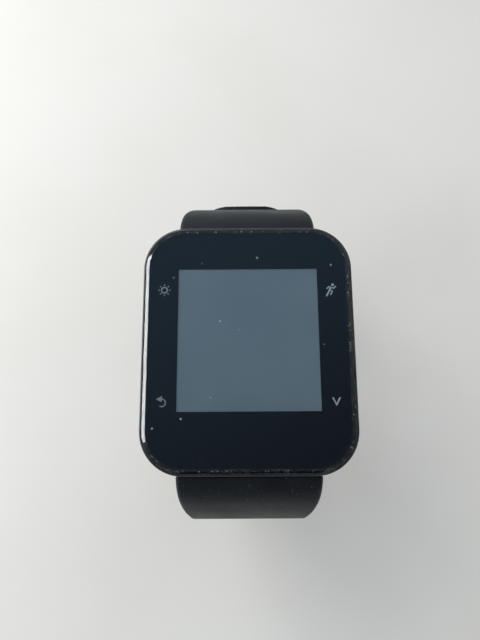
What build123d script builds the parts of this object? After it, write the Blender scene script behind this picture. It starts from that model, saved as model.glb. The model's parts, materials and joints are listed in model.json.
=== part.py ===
from build123d import *
from math import acos, asin, atan2, cos, degrees, hypot, radians, sin, sqrt
import os

# A GPS running watch with its silicone strap buckled into a loop, face up.
# Frame: X to 3 o'clock, Y to 12 o'clock, Z up out of the face. The origin is the
# bottom centre of the whole watch, on the surface that the closed loop stands on.
# Every length is in millimetres and every angle in degrees.

# ---------------------------------------------------------------- driving sizes
# how far cuts run past the face they open
cut_over = 1.0
touch = 0.1

# case
case_width = 35.5
case_length = 41.4
case_corner = 7.2
case_wall = 1.9
case_end_wall = 1.9
rim_width = 0.45  # ring of case seen round the lens
rim_drop = 0.75  # face down to the top of the rim
rim_round = 0.4
joint_depth = 7.8  # face down to the joint with the rear cover
case_depth = 12.2  # face down to the flat of the back
boss_skin = 0.5  # screw bosses stop this far inside the case's outline
lug_root = 0.5  # lug carried into the case wall
bump_height = 0.9
window_stand = 0.2  # sensor window above its bump

# lens and display
lens_thickness = 1.0
lens_bevel = 0.65
lens_bevel_depth = 0.45
lens_gap = 0.05
mask_thickness = 0.06
mask_inset = 0.1
tape_inset = 0.15
tape_lap = 0.15  # tape clear of the cavity's edge
tape_thickness = 0.2
screen_side = 23.5
screen_extra = 0.3  # window taller than it is wide
screen_shift = 1.3  # screen centre towards 12 o'clock
panel_margin = 1.4
guide_margin = 0.6
panel_ledge = 3.6  # driver strip below the picture
panel_thickness = 1.0
panel_corner = 0.4
guide_thickness = 0.5
stack_gap = 0.05
socket_height = 0.25
socket_length = 2.0
socket_margin = 0.5

# side buttons
button_length = 9.2
button_height = 2.6
button_stand = 0.5  # cap proud of the case side
button_pitch = 18.4
button_depth = 4.4  # face down to the button's axis
button_travel = 0.4
button_gap = 0.15
cap_thickness = 1.1
cap_round = 0.35
stem_radius = 0.8
stem_clearance = 0.05
groove_depth = 0.12
groove_slack = 0.05
seal_radius = 0.3
seal_fit = 0.01
seal_seat = 0.6  # bore past the seal
seal_setback = 1.9  # recess floor to the middle of the seal
boss_reach = 3.4  # recess floor to the boss's inner end
clip_thickness = 0.3
clip_radius = 1.5
clip_bite = 0.2  # depth of the clip's groove in the stem
clip_fit = 0.02
clip_mouth = 0.9
boss_half = 2.0
boss_corner = 0.5
switch_gap = 0.08
switch_height = 0.9
switch_length = 3.0
switch_corner = 0.3
nub_height = 0.3
nub_radius = 0.65
key_flex_thickness = 0.15
key_flex_width = 2.2
key_flex_over = 1.8
key_flex_corner = 0.4

# rear cover, its gasket and its screws
cover_step = 0.25  # cover set in from the case all round
cover_draft = 25.0
cover_wall = 2.0
cover_floor = 1.0
cover_edge = 0.8
gasket_inset = 1.0
gasket_width = 0.8
gasket_height = 0.6
gasket_fit = 0.03
screw_inset_x = 5.05
screw_inset_y = 5.15
screw_boss = 2.4
screw_radius = 0.6
screw_head = 1.15
screw_head_height = 0.8
screw_clearance = 0.1
screw_recess = 0.3  # head below the back
screw_grip = 2.0  # thread past the joint
screw_hole_depth = 2.7
screw_boss_height = 3.0
thread_fit = 0.03
hex_socket = 0.5
bump_side = 17.0
bump_corner = 4.5
bump_draft = 20.0
bump_edge = 0.3
contact_row = 4.1  # edge of the bump to the row of charging pins
contact_spacing = 2.6
contact_radius = 0.7
contact_fit = 0.02
contact_head = 1.0
contact_head_height = 0.4
window_side = 11.0
window_thickness = 1.1
window_corner = 3.0
window_edge = 0.15
window_fit = 0.05
window_ledge = 0.8

# electronics
chassis_end_gap = 0.65
flange_thickness = 0.5
chassis_thickness = 0.6
chassis_corner = 3.0
chassis_windows = ((-6.2, 12.2), (6.2, 12.2), (-6.2, -6), (6.2, -6))
chassis_window = 5.0
chassis_window_corner = 1.0
flange_drop = 1.1  # flange below the buttons' axis
flange_over = 2.0
standoff_radius = 0.8
standoff_x = 9.1
standoff_rows = (6.6, -15.0)
board_side_gap = 0.2
board_setback = 1.3
board_thickness = 0.7
board_drop = 2.5  # chassis down to the board's top
board_corner = 2.0
column_gap = 0.25  # board clear of the screw bosses
# width, length, height, x, y and corner of the larger pieces on the board
board_pieces = {
    "shield_can": (13.0, 11.0, 1.3, 0, -1.5, 0.8),
    "gps_antenna": (9.0, 9.0, 1.8, 0, 10.2, 0),
    "bluetooth_antenna": (3.2, 1.6, 1.0, 8.2, 14.6, 0),
}
chip_height = 0.8
large_chip = (2.6, 3.0)
large_chip_places = ((-8.2, 3.0), (8.2, 3.0))
small_chip = (2.0, 2.4)
small_chip_places = ((-8.3, -3.0), (8.3, -3.0), (7.6, 10.6))
cell_width = 20.2
cell_length = 22.6
cell_gap = 0.14
cell_corner = 1.2
foam_inset = 1.5
tab_width = 4.0
tab_reach = 1.3
tab_thickness = 0.3
tab_drop = 1.0  # tab below the cell's top
sensor_board_rise = 0.75  # sensor board's top above the cover's floor
sensor_board_thickness = 0.5
sensor_board_side = 13.0
sensor_board_corner = 1.0
baffle_side = 9.2
baffle_corner = 2.2
baffle_well = 3.2
led_places = ((0, 3.0), (-2.9, -2.0), (2.9, -2.0))
led_well = (1.9, 1.6)
led_size = (1.5, 1.2)
led_height = 0.6
photodiode_side = 2.8
photodiode_height = 0.5
buzzer_y = -9.9
buzzer_radius = 1.6
buzzer_height = 0.5
fold_gap = 0.35
fold_return = 3.2
fold_radius = 0.4
flex_overlap = 0.6
flex_thickness = 0.12
flex_half = 4.0
foam_thickness = 0.25

# vibration motor, lying along X
motor_y = 14.9
motor_drop = 1.0  # joint down to the shaft
can_radius = 1.6
can_start = -6.2
can_length = 7.0
bearing_depth = 1.0
shaft_radius = 0.35
shaft_length = 4.0
shaft_clearance = 0.05
weight_start = 1.2
weight_radius = 1.5
weight_length = 2.8
weight_flat = 0.35  # flat above the shaft

# closed strap loop
loop_radius = 31.5  # outside of the strap above the loop's widest level
shoulder_drop = 2.2  # face down to the top of the strap
strap_thickness = 2.2
layer_gap = 0.2
strap_end_gap = 0.15
shoulder_radius = 12.0
shoulder_angle = 35.0
thin_angle = 10.0  # where the strap has come down to its thickness
end_depth = 10.6  # face down to the inner corner of the strap's end
strap_end_half = 12.0
strap_neck_half = 11.0
strap_half = 9.0
neck_start = 1.2
neck_reach = 8.8  # case end to the neck, seen from above
flare_depth = 12.0  # face down to where the shoulders end
neck_depth = 17.0
taper_depth = 27.0  # face down to where the strap has its own width
taper_round = 0.8
plan_back = 2.0  # outlines start this far past the case's middle
tail_angle = 6.5  # how far past the widest level the tail reaches
tail_tip_round = 6.0
foot_height = 1.0  # lowest point of the strap above the ground

# lugs and strap pins
pin_out = 1.75  # case end to the pin's axis
pin_depth = 7.2
pin_radius = 0.9
pin_clearance = 0.05
pin_half = 10.1
lug_half = 7.0
lug_radius = 1.75
lug_gap = 0.15
pocket_depth = 6.0
pocket_run = 4.0
strap_screw_head = 1.25
strap_screw_height = 1.0
strap_socket = 0.6
strap_shank = 0.47
strap_shank_length = 4.0
tube_bore = 0.5

# buckle
bar_radius = 0.75
bar_clearance = 0.05
bar_tip_radius = 0.45
bar_tip_length = 0.9
bar_tip_seat = 2.0  # tip inside the tube
coil_wall = 0.15
eyelet_radius = 1.5
arm_gap = 0.5
arm_width = 1.7
arm_eye = 1.7
crossbar_start = 8.4
crossbar_width = 2.8
crossbar_height = 1.75
notch_clearance = 0.15
buckle_corner = 1.2
tongue_width = 1.8
tongue_thickness = 0.9
tongue_eye = 1.35
tongue_slot_half = 1.5
tongue_slot_gap = 0.45
tongue_rise_start = 3.3
tongue_rise_end = 6.3
tongue_reach = 10.2
tongue_ground = 0.15
tongue_start = 0.3  # bar's surface to the tongue's middle line
tongue_drop = 0.1
tongue_bend = 0.6

# holes in the tail, and the keepers
hole_length = 3.8
hole_width = 2.4
hole_round = 0.6
hole_pitch = 6.5
hole_offset = 4.75  # from the buckle's bar to the hole in use
holes_before = 4
holes_after = 7
keeper_wall = 1.2
keeper_gap = 0.25
keeper_width = 6.0
keeper_angle = -38.0
loop_start = 2.8  # bar to the near side of the fixed keeper
keeper_over = 2.0  # angle that the passage's cut runs past each side

# ---------------------------------------------------------------- derived places
layer_shift = (strap_thickness + layer_gap) / 2
lower_inner = loop_radius - layer_shift  # outside of the short strap, lower half
lower_outer = loop_radius + layer_shift  # outside of the long strap, lower half
centre_z = lower_outer + foot_height
end_reach = case_length / 2 + strap_end_gap  # case middle to the strap's end
shoulder_inset = (loop_radius - shoulder_radius) * cos(radians(shoulder_angle))
shoulder_reach = end_reach - shoulder_inset
shoulder_rise = sqrt(shoulder_radius**2 - shoulder_reach**2)
shoulder_z = centre_z + (loop_radius - shoulder_radius) * sin(radians(shoulder_angle))
face_z = shoulder_z + shoulder_rise + shoulder_drop
case_y = -layer_shift  # middle of the case, so that the loop is centred on the origin
rim_z = face_z - rim_drop
joint_z = face_z - joint_depth
back_z = face_z - case_depth
lens_z = face_z - lens_thickness
ledge_z = lens_z - mask_thickness - tape_thickness
cover_width = case_width - 2 * cover_step
cover_length = case_length - 2 * cover_step
cover_corner = case_corner - cover_step
screw_x = case_width / 2 - screw_inset_x
screw_y = case_length / 2 - screw_inset_y
lens_width = case_width - 2 * rim_width
lens_length = case_length - 2 * rim_width
lens_corner = case_corner - rim_width
cavity_width = case_width - 2 * case_wall
cavity_length = case_length - 2 * case_end_wall
cavity_corner = case_corner - case_wall
panel_z = ledge_z - stack_gap
guide_z = panel_z - panel_thickness - stack_gap
chassis_z = guide_z - guide_thickness - stack_gap
board_z = chassis_z - chassis_thickness - board_drop
cell_z = board_z - board_thickness - foam_thickness
floor_z = back_z + cover_floor
sensor_board_z = floor_z + sensor_board_rise
cell_thickness = cell_z - sensor_board_z - cell_gap
chassis_length = cavity_length - 2 * chassis_end_gap
board_length = chassis_length - 2 * board_setback
button_z = face_z - button_depth
cap_outer = case_width / 2 + button_stand
cap_inner = cap_outer - cap_thickness
recess_floor = cap_inner - button_travel - button_gap
boss_end = recess_floor - boss_reach
board_width = 2 * (boss_end - board_side_gap)
clip_x = boss_end - clip_thickness - stem_clearance
stem_end = clip_x - clip_thickness
switch_face = stem_end - button_travel - switch_gap
key_flex_x = switch_face - nub_height - switch_height
chassis_width = 2 * (key_flex_x - key_flex_thickness - stack_gap)
bump_z = back_z - bump_height
window_z = bump_z - window_stand
bar_z = centre_z - lower_inner + eyelet_radius
upper_centre = (case_y, centre_z)
lower_centre = (0, centre_z)
tongue_z = tongue_ground + tongue_thickness / 2
tail_radius = lower_outer + layer_shift  # outside of the tail above the widest level

os.makedirs("parts", exist_ok=True)


# ---------------------------------------------------------------- helpers
def polar(centre, radius, angle):
    """Point in the YZ plane at an angle from +Y about a centre."""
    return centre[0] + radius * cos(radians(angle)), centre[1] + radius * sin(radians(angle))


def save(piece, name):
    piece.part.label = name
    export_step(piece.part, f"parts/{name}.step")


def sector(centre, inner, outer, start, size):
    """Ring sector in the YZ plane, from a start angle through a given angle."""
    with BuildSketch(Plane.YZ) as ring:
        with BuildLine():
            far = CenterArc(centre, outer, start, size)
            near = CenterArc(centre, inner, start, size)
            Line(far @ 0, near @ 0)
            Line(far @ 1, near @ 1)
        make_face()
    return ring.sketch


def case_plane(z):
    """Horizontal plane centred on the case."""
    return Plane.XY.offset(z).move(Location((0, case_y, 0)))


def block(name, width, length, height, x, y, top, corner=0.0):
    """Plain electronic component or pad, its top face at a given height."""
    with BuildPart() as piece:
        with BuildSketch(Plane.XY.offset(top - height)):
            with Locations((x, case_y + y)):
                if corner:
                    RectangleRounded(width, length, corner)
                else:
                    Rectangle(width, length)
        extrude(amount=height)
    save(piece, name)
    return piece


# ---------------------------------------------------------------- lens and display
def build_lens():
    width = lens_width - 2 * lens_gap
    length = lens_length - 2 * lens_gap
    corner = lens_corner - lens_gap
    with BuildPart() as lens:
        with BuildSketch(case_plane(lens_z)):
            RectangleRounded(width, length, corner)
        extrude(amount=lens_thickness)
        top = lens.faces().sort_by(Axis.Z)[-1]
        chamfer(top.edges(), length=lens_bevel_depth, length2=lens_bevel, reference=top)
    save(lens, "lens")

    with BuildPart() as mask:
        with BuildSketch(case_plane(lens_z)):
            RectangleRounded(width - 2 * mask_inset, length - 2 * mask_inset, corner - mask_inset)
            with Locations((0, screen_shift)):
                Rectangle(screen_side, screen_side + screen_extra, mode=Mode.SUBTRACT)
        extrude(amount=-mask_thickness)
    save(mask, "lens_mask")

    with BuildPart() as tape:
        with BuildSketch(case_plane(ledge_z)):
            RectangleRounded(width - 2 * tape_inset, length - 2 * tape_inset, corner - tape_inset)
            RectangleRounded(
                cavity_width + 2 * tape_lap, cavity_length + 2 * tape_lap, cavity_corner, mode=Mode.SUBTRACT
            )
        extrude(amount=tape_thickness)
    save(tape, "lens_tape")


def build_display():
    panel_width = screen_side + 2 * panel_margin
    panel_length = panel_width + screen_extra + panel_ledge
    panel_y = screen_shift - panel_ledge / 2
    block("display_panel", panel_width, panel_length, panel_thickness, 0, panel_y, panel_z, panel_corner)
    guide_side = screen_side + screen_extra + 2 * guide_margin
    block("light_guide", guide_side, guide_side, guide_thickness, 0, screen_shift, guide_z, panel_corner)

    start = case_y + panel_y - panel_length / 2 + flex_overlap
    fold = case_y - chassis_length / 2 - fold_gap
    upper = guide_z - flex_thickness / 2
    lower = board_z + socket_height + flex_thickness / 2 + stack_gap
    with BuildPart() as flex:
        with BuildSketch(Plane.YZ):
            with BuildLine():
                FilletPolyline(
                    (start, upper),
                    (fold, upper),
                    (fold, lower),
                    (fold + fold_return, lower),
                    radius=fold_radius,
                )
            trace(line_width=flex_thickness)
        extrude(amount=flex_half, both=True)
    save(flex, "display_flex")


# ---------------------------------------------------------------- case shells
def build_mid_case():
    with BuildPart() as mid:
        with BuildSketch(case_plane(joint_z)):
            RectangleRounded(case_width, case_length, case_corner)
        extrude(amount=rim_z - joint_z)
        fillet(mid.faces().sort_by(Axis.Z)[-1].edges(), radius=rim_round)
        with BuildSketch(case_plane(ledge_z)):
            RectangleRounded(lens_width, lens_length, lens_corner)
        extrude(amount=rim_z - ledge_z + cut_over, mode=Mode.SUBTRACT)
        with BuildSketch(case_plane(joint_z)):
            RectangleRounded(cavity_width, cavity_length, cavity_corner)
        extrude(amount=ledge_z - joint_z, mode=Mode.SUBTRACT)

        # corner bosses for the rear screws
        with BuildSketch(case_plane(joint_z)):
            with Locations(*screw_places()):
                Circle(screw_boss)
            RectangleRounded(
                case_width - 2 * boss_skin,
                case_length - 2 * boss_skin,
                case_corner - boss_skin,
                mode=Mode.INTERSECT,
            )
        extrude(amount=screw_boss_height)

        # button bosses on the inside of both sides
        for side in (-1, 1):
            for y in button_rows():
                inner = boss_end
                outer = case_width / 2 - case_wall / 2
                with BuildSketch(Plane.YZ.offset(side * inner)):
                    with Locations((y, button_z)):
                        RectangleRounded(2 * boss_half, 2 * boss_half, boss_corner)
                extrude(amount=side * (outer - inner))
                with BuildSketch(Plane.YZ.offset(side * recess_floor)):
                    with Locations((y, button_z)):
                        SlotOverall(button_length + 2 * button_gap, button_height + 2 * button_gap)
                extrude(amount=side * (case_width / 2 - recess_floor + cut_over), mode=Mode.SUBTRACT)
                with BuildSketch(Plane.YZ.offset(side * (boss_end - cut_over))):
                    with Locations((y, button_z)):
                        Circle(stem_radius + stem_clearance)
                extrude(amount=side * (boss_reach + 2 * cut_over), mode=Mode.SUBTRACT)
                with BuildSketch(Plane.YZ.offset(side * (boss_end - touch))):
                    with Locations((y, button_z)):
                        Circle(seal_bore())
                seal_depth = boss_reach - seal_setback + seal_radius + seal_seat
                extrude(amount=side * (touch + seal_depth), mode=Mode.SUBTRACT)

        # one lug in the middle of each end
        for end in (-1, 1):
            with BuildSketch(Plane.YZ.offset(-lug_half)):
                with Locations((pin_y(end), pin_z())):
                    Circle(lug_radius)
                with Locations((pin_y(end) - end * (pin_out + lug_root) / 2, pin_z())):
                    Rectangle(pin_out + lug_root, 2 * lug_radius)
            extrude(amount=2 * lug_half)
            with BuildSketch(Plane.YZ.offset(-lug_half)):
                with Locations((pin_y(end), pin_z())):
                    Circle(pin_radius + pin_clearance)
            extrude(amount=2 * lug_half, mode=Mode.SUBTRACT)

        # the rear cover's side of the joint stays clear of the lugs' roots
        with BuildSketch(case_plane(joint_z)):
            RectangleRounded(case_width, case_length, case_corner)
        extrude(amount=-2 * lug_radius, mode=Mode.SUBTRACT)

        # blind threaded holes for the rear screws
        with Locations(case_plane(joint_z)):
            with Locations(*screw_places()):
                Cylinder(
                    screw_radius + thread_fit,
                    screw_hole_depth,
                    align=(Align.CENTER, Align.CENTER, Align.MIN),
                    mode=Mode.SUBTRACT,
                )
    save(mid, "mid_case")


def screw_places():
    return [(sx * screw_x, sy * screw_y) for sx in (-1, 1) for sy in (-1, 1)]


def button_rows():
    return [case_y - button_pitch / 2, case_y + button_pitch / 2]


def seal_bore():
    return stem_radius - groove_depth + 2 * (seal_radius + seal_fit)


def pin_y(end):
    return case_y + end * (case_length / 2 + pin_out)


def pin_z():
    return face_z - pin_depth


def cover_cavity():
    """Hollow of the rear cover, with the screw columns left standing."""
    depth = case_depth - joint_depth
    with BuildPart() as cavity:
        with BuildSketch(case_plane(joint_z)):
            RectangleRounded(
                cover_width - 2 * cover_wall, cover_length - 2 * cover_wall, cover_corner - cover_wall
            )
        extrude(amount=-(depth - cover_floor), taper=cover_draft)
        with BuildSketch(case_plane(joint_z)):
            with Locations(*screw_places()):
                Circle(screw_boss)
        extrude(amount=-depth, mode=Mode.SUBTRACT)
    return cavity.part


def build_rear_cover():
    depth = case_depth - joint_depth
    cavity = cover_cavity()
    with BuildPart() as cover:
        with BuildSketch(case_plane(joint_z)):
            RectangleRounded(cover_width, cover_length, cover_corner)
        extrude(amount=-depth, taper=cover_draft)
        fillet(cover.faces().sort_by(Axis.Z)[0].edges(), radius=cover_edge)
        add(cavity, mode=Mode.SUBTRACT)

        # raised sensor housing, open where the window sits
        with BuildSketch(case_plane(back_z + touch)):
            RectangleRounded(bump_side, bump_side, bump_corner)
        extrude(amount=-(bump_height + touch), taper=bump_draft)
        fillet(cover.faces().sort_by(Axis.Z)[0].edges(), radius=bump_edge)
        with BuildSketch(case_plane(floor_z)):
            opening = window_side - 2 * window_ledge
            RectangleRounded(opening, opening, window_corner - window_ledge)
        extrude(amount=-(cover_floor + bump_height + cut_over), mode=Mode.SUBTRACT)
        with BuildSketch(case_plane(window_z + window_thickness)):
            seat = window_side + 2 * window_fit
            RectangleRounded(seat, seat, window_corner + window_fit)
        extrude(amount=-(window_thickness + cut_over), mode=Mode.SUBTRACT)

        # groove for the gasket
        with BuildSketch(case_plane(joint_z)):
            ring_sketch(gasket_width / 2 + gasket_fit)
        extrude(amount=-(gasket_height + gasket_fit), mode=Mode.SUBTRACT)

        # stepped screw holes from the back
        with Locations(Plane(origin=(0, case_y, back_z), x_dir=(1, 0, 0), z_dir=(0, 0, -1))):
            with Locations(*screw_places()):
                CounterBoreHole(
                    radius=screw_radius + screw_clearance,
                    counter_bore_radius=screw_head + screw_clearance,
                    counter_bore_depth=screw_head_height + screw_recess,
                    depth=depth + cut_over,
                )
        # holes for the charging pins
        with Locations(case_plane(back_z)):
            with Locations(*contact_places()):
                Cylinder(contact_radius + contact_fit, 4 * cover_floor, mode=Mode.SUBTRACT)
    save(cover, "rear_cover")

    with BuildPart() as gasket:
        with BuildSketch(case_plane(joint_z)):
            ring_sketch(gasket_width / 2)
        extrude(amount=-gasket_height)
    save(gasket, "case_gasket")

    with BuildPart() as screws:
        with BuildSketch(case_plane(back_z + screw_recess)):
            with Locations(*screw_places()):
                Circle(screw_head)
        extrude(amount=screw_head_height)
        with BuildSketch(case_plane(back_z + screw_recess)):
            with Locations(*screw_places()):
                RegularPolygon(hex_socket, 6)
        extrude(amount=hex_socket, mode=Mode.SUBTRACT)
        with BuildSketch(case_plane(back_z + screw_recess + screw_head_height)):
            with Locations(*screw_places()):
                Circle(screw_radius)
        extrude(amount=joint_z - back_z - screw_recess - screw_head_height + screw_grip)
    save(screws, "rear_screws")


def ring_sketch(half):
    """Rounded ring on the gasket's line, in the active sketch."""
    width = cover_width - 2 * gasket_inset
    length = cover_length - 2 * gasket_inset
    corner = cover_corner - gasket_inset
    RectangleRounded(width + 2 * half, length + 2 * half, corner + half)
    RectangleRounded(width - 2 * half, length - 2 * half, corner - half, mode=Mode.SUBTRACT)


def contact_places():
    row = -bump_side / 2 - contact_row
    return [(contact_spacing * step, row) for step in (-1.5, -0.5, 0.5, 1.5)]


# ---------------------------------------------------------------- heart rate sensor
def build_sensor():
    with BuildPart() as window:
        with BuildSketch(case_plane(window_z)):
            RectangleRounded(window_side, window_side, window_corner)
        extrude(amount=window_thickness)
        chamfer(window.faces().sort_by(Axis.Z)[0].edges(), window_edge)
    save(window, "sensor_window")

    side = sensor_board_side
    block("sensor_board", side, side, sensor_board_thickness, 0, 0, sensor_board_z, sensor_board_corner)
    under = sensor_board_z - sensor_board_thickness
    with BuildPart() as baffle:
        with BuildSketch(case_plane(under)):
            RectangleRounded(baffle_side, baffle_side, baffle_corner)
            Rectangle(baffle_well, baffle_well, mode=Mode.SUBTRACT)
            with Locations(*led_places):
                Rectangle(*led_well, mode=Mode.SUBTRACT)
        extrude(amount=-(under - window_z - window_thickness - stack_gap))
    save(baffle, "light_baffle")
    with BuildPart() as leds:
        with BuildSketch(case_plane(under)):
            with Locations(*led_places):
                Rectangle(*led_size)
        extrude(amount=-led_height)
    save(leds, "green_leds")
    block("photodiode", photodiode_side, photodiode_side, photodiode_height, 0, 0, under)

    with BuildPart() as contacts:
        with BuildSketch(case_plane(back_z)):
            with Locations(*contact_places()):
                Circle(contact_radius)
        extrude(amount=cover_floor + contact_head_height)
        with BuildSketch(case_plane(floor_z)):
            with Locations(*contact_places()):
                Circle(contact_head)
        extrude(amount=contact_head_height)
    save(contacts, "charging_pins")


# ---------------------------------------------------------------- electronics
def build_electronics():
    with BuildPart() as chassis:
        with BuildSketch(case_plane(chassis_z - chassis_thickness)):
            RectangleRounded(chassis_width, chassis_length, chassis_corner)
            with Locations(*chassis_windows):
                RectangleRounded(
                    chassis_window, chassis_window, chassis_window_corner, mode=Mode.SUBTRACT
                )
        extrude(amount=chassis_thickness)
        with BuildSketch(case_plane(button_z - flange_drop)):
            for side in (-1, 1):
                with Locations((side * (chassis_width - flange_thickness) / 2, 0)):
                    Rectangle(flange_thickness, button_pitch + 2 * flange_over)
        extrude(amount=chassis_z - button_z + flange_drop - chassis_thickness)
        with BuildSketch(case_plane(board_z)):
            with Locations(*standoff_places()):
                Circle(standoff_radius)
        extrude(amount=board_drop)
    save(chassis, "chassis")

    with BuildPart() as board:
        with BuildSketch(case_plane(board_z - board_thickness)):
            RectangleRounded(board_width, board_length, board_corner)
            with Locations(*screw_places()):
                Circle(screw_boss + column_gap, mode=Mode.SUBTRACT)
        extrude(amount=board_thickness)
    save(board, "main_board")

    for name, (width, length, height, x, y, corner) in board_pieces.items():
        block(name, width, length, height, x, y, board_z + height, corner)
    with BuildPart() as chips:
        with BuildSketch(case_plane(board_z)):
            with Locations(*large_chip_places):
                Rectangle(*large_chip)
            with Locations(*small_chip_places):
                Rectangle(*small_chip)
        extrude(amount=chip_height)
    save(chips, "board_chips")
    socket_y = -chassis_length / 2 - fold_gap + fold_return - socket_length / 2
    socket_width = 2 * (flex_half - socket_margin)
    socket_top = board_z + socket_height
    block("display_socket", socket_width, socket_length, socket_height, 0, socket_y, socket_top)

    block("battery", cell_width, cell_length, cell_thickness, 0, 0, cell_z, cell_corner)
    foam_width = cell_width - 2 * foam_inset
    foam_length = cell_length - 2 * foam_inset
    block("battery_foam", foam_width, foam_length, foam_thickness, 0, 0, cell_z + foam_thickness)
    with BuildPart() as lead:
        with BuildSketch(case_plane(cell_z - tab_drop)):
            with Locations((0, (cell_length + tab_reach) / 2)):
                Rectangle(tab_width, tab_reach)
        extrude(amount=tab_thickness)
        with BuildSketch(case_plane(cell_z - tab_drop)):
            with Locations((0, cell_length / 2 + tab_reach - tab_thickness / 2)):
                Rectangle(tab_width, tab_thickness)
        extrude(amount=board_z - board_thickness - cell_z + tab_drop)
    save(lead, "battery_tab")

    # vibration motor: a can with an eccentric weight on its shaft, along X
    shaft_y = case_y + motor_y
    shaft_z = joint_z - motor_drop
    with BuildPart() as can:
        with BuildSketch(Plane.YZ.offset(can_start)):
            with Locations((shaft_y, shaft_z)):
                Circle(can_radius)
        extrude(amount=can_length)
        with BuildSketch(Plane.YZ.offset(can_start + can_length)):
            with Locations((shaft_y, shaft_z)):
                Circle(shaft_radius + shaft_clearance)
        extrude(amount=-bearing_depth, mode=Mode.SUBTRACT)
    save(can, "vibration_motor")
    with BuildPart() as weight:
        with BuildSketch(Plane.YZ):
            with Locations((shaft_y, shaft_z)):
                Circle(shaft_radius)
        extrude(amount=shaft_length)
        with BuildSketch(Plane.YZ.offset(weight_start)):
            with Locations((shaft_y, shaft_z)):
                Circle(weight_radius)
            with Locations((shaft_y, shaft_z + weight_flat + cut_over)):
                Rectangle(2 * weight_radius + cut_over, 2 * cut_over, mode=Mode.SUBTRACT)
        extrude(amount=weight_length)
    save(weight, "vibration_weight")

    with BuildPart() as buzzer:
        with BuildSketch(case_plane(floor_z + stack_gap)):
            with Locations((0, buzzer_y)):
                Circle(buzzer_radius)
        extrude(amount=buzzer_height)
    save(buzzer, "buzzer")


def standoff_places():
    return [(side * standoff_x, y) for side in (-1, 1) for y in standoff_rows]


# ---------------------------------------------------------------- buttons
def build_buttons():
    names = {
        ("left", 1): "light_button",
        ("left", 0): "back_button",
        ("right", 1): "run_button",
        ("right", 0): "down_button",
    }
    for (where, row), name in names.items():
        side = -1 if where == "left" else 1
        y = button_rows()[row]
        seal_x = recess_floor - seal_setback
        with BuildPart() as button:
            with BuildSketch(Plane.YZ.offset(side * cap_inner)):
                with Locations((y, button_z)):
                    SlotOverall(button_length, button_height)
            extrude(amount=side * cap_thickness)
            outer = button.faces().sort_by(Axis.X)[-1 if side > 0 else 0]
            fillet(outer.edges(), radius=cap_round)
            with BuildSketch(Plane.YZ.offset(side * stem_end)):
                with Locations((y, button_z)):
                    Circle(stem_radius)
            extrude(amount=side * (cap_inner - stem_end))
            for middle, half, radius in (
                (seal_x, seal_radius + groove_slack, stem_radius - groove_depth),
                (clip_x + clip_thickness / 2, clip_thickness / 2 + clip_fit, stem_radius - clip_bite),
            ):
                with BuildSketch(Plane.YZ.offset(side * (middle - half))):
                    with Locations((y, button_z)):
                        Circle(stem_radius + clip_bite)
                        Circle(radius, mode=Mode.SUBTRACT)
                extrude(amount=side * 2 * half, mode=Mode.SUBTRACT)
        save(button, name)

        with BuildPart() as seal:
            with Locations(Plane(origin=(side * seal_x, y, button_z), z_dir=(1, 0, 0))):
                Torus(stem_radius - groove_depth + seal_radius + seal_fit, seal_radius - seal_fit)
        save(seal, f"{name}_seal")

        with BuildPart() as clip:
            with BuildSketch(Plane.YZ.offset(side * clip_x)):
                with Locations((y, button_z)):
                    Circle(clip_radius)
                    Circle(stem_radius - clip_bite + clip_fit, mode=Mode.SUBTRACT)
                with Locations((y, button_z - clip_radius)):
                    Rectangle(clip_mouth, 2 * clip_radius, mode=Mode.SUBTRACT)
            extrude(amount=side * clip_thickness)
        save(clip, f"{name}_clip")

    for side, where in ((-1, "left"), (1, "right")):
        with BuildPart() as flex:
            with BuildSketch(Plane.YZ.offset(side * (key_flex_x - key_flex_thickness))):
                with Locations((case_y, button_z)):
                    RectangleRounded(button_pitch + 2 * key_flex_over, key_flex_width, key_flex_corner)
            extrude(amount=side * key_flex_thickness)
        save(flex, f"key_flex_{where}")
        with BuildPart() as switches:
            for y in button_rows():
                with BuildSketch(Plane.YZ.offset(side * key_flex_x)):
                    with Locations((y, button_z)):
                        RectangleRounded(switch_length, key_flex_width, switch_corner)
                extrude(amount=side * switch_height)
                with BuildSketch(Plane.YZ.offset(side * (key_flex_x + switch_height))):
                    with Locations((y, button_z)):
                        Circle(nub_radius)
                extrude(amount=side * nub_height)
        save(switches, f"key_switches_{where}")


# ---------------------------------------------------------------- strap
def strap_outline(end, lower_lines):
    """Side profile of one strap: shoulder, upper arcs, then its own lower lines."""
    level = 0 if end > 0 else 180
    turn = 1 if end > 0 else -1
    angle = level + turn * shoulder_angle
    centre = polar(upper_centre, loop_radius - shoulder_radius, angle)
    edge = case_y + end * end_reach
    start = degrees(atan2(shoulder_rise, end * shoulder_reach))
    with BuildSketch(Plane.YZ) as outline:
        with BuildLine():
            shoulder = CenterArc(centre, shoulder_radius, start, angle - start)
            CenterArc(upper_centre, loop_radius, angle, level - angle)
            lower_lines()
            inside = CenterArc(upper_centre, loop_radius - strap_thickness, level, turn * thin_angle)
            root = TangentArc(inside @ 1, (edge, face_z - end_depth), tangent=inside % 1)
            Line(root @ 1, shoulder @ 0)
        make_face()
    return outline.sketch


def short_lower_lines():
    outer = CenterArc(lower_centre, lower_inner, 0, -90)
    inner = CenterArc(lower_centre, lower_inner - strap_thickness, 0, -90)
    Line(outer @ 1, inner @ 1)


def long_lower_lines():
    CenterArc(lower_centre, lower_outer, 180, 180)
    CenterArc(lower_centre, lower_outer - strap_thickness, 180, 180)
    tip = CenterArc(upper_centre, tail_radius, 0, tail_angle)
    inner_tip = CenterArc(upper_centre, tail_radius - strap_thickness, 0, tail_angle)
    Line(tip @ 1, inner_tip @ 1)


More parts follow.
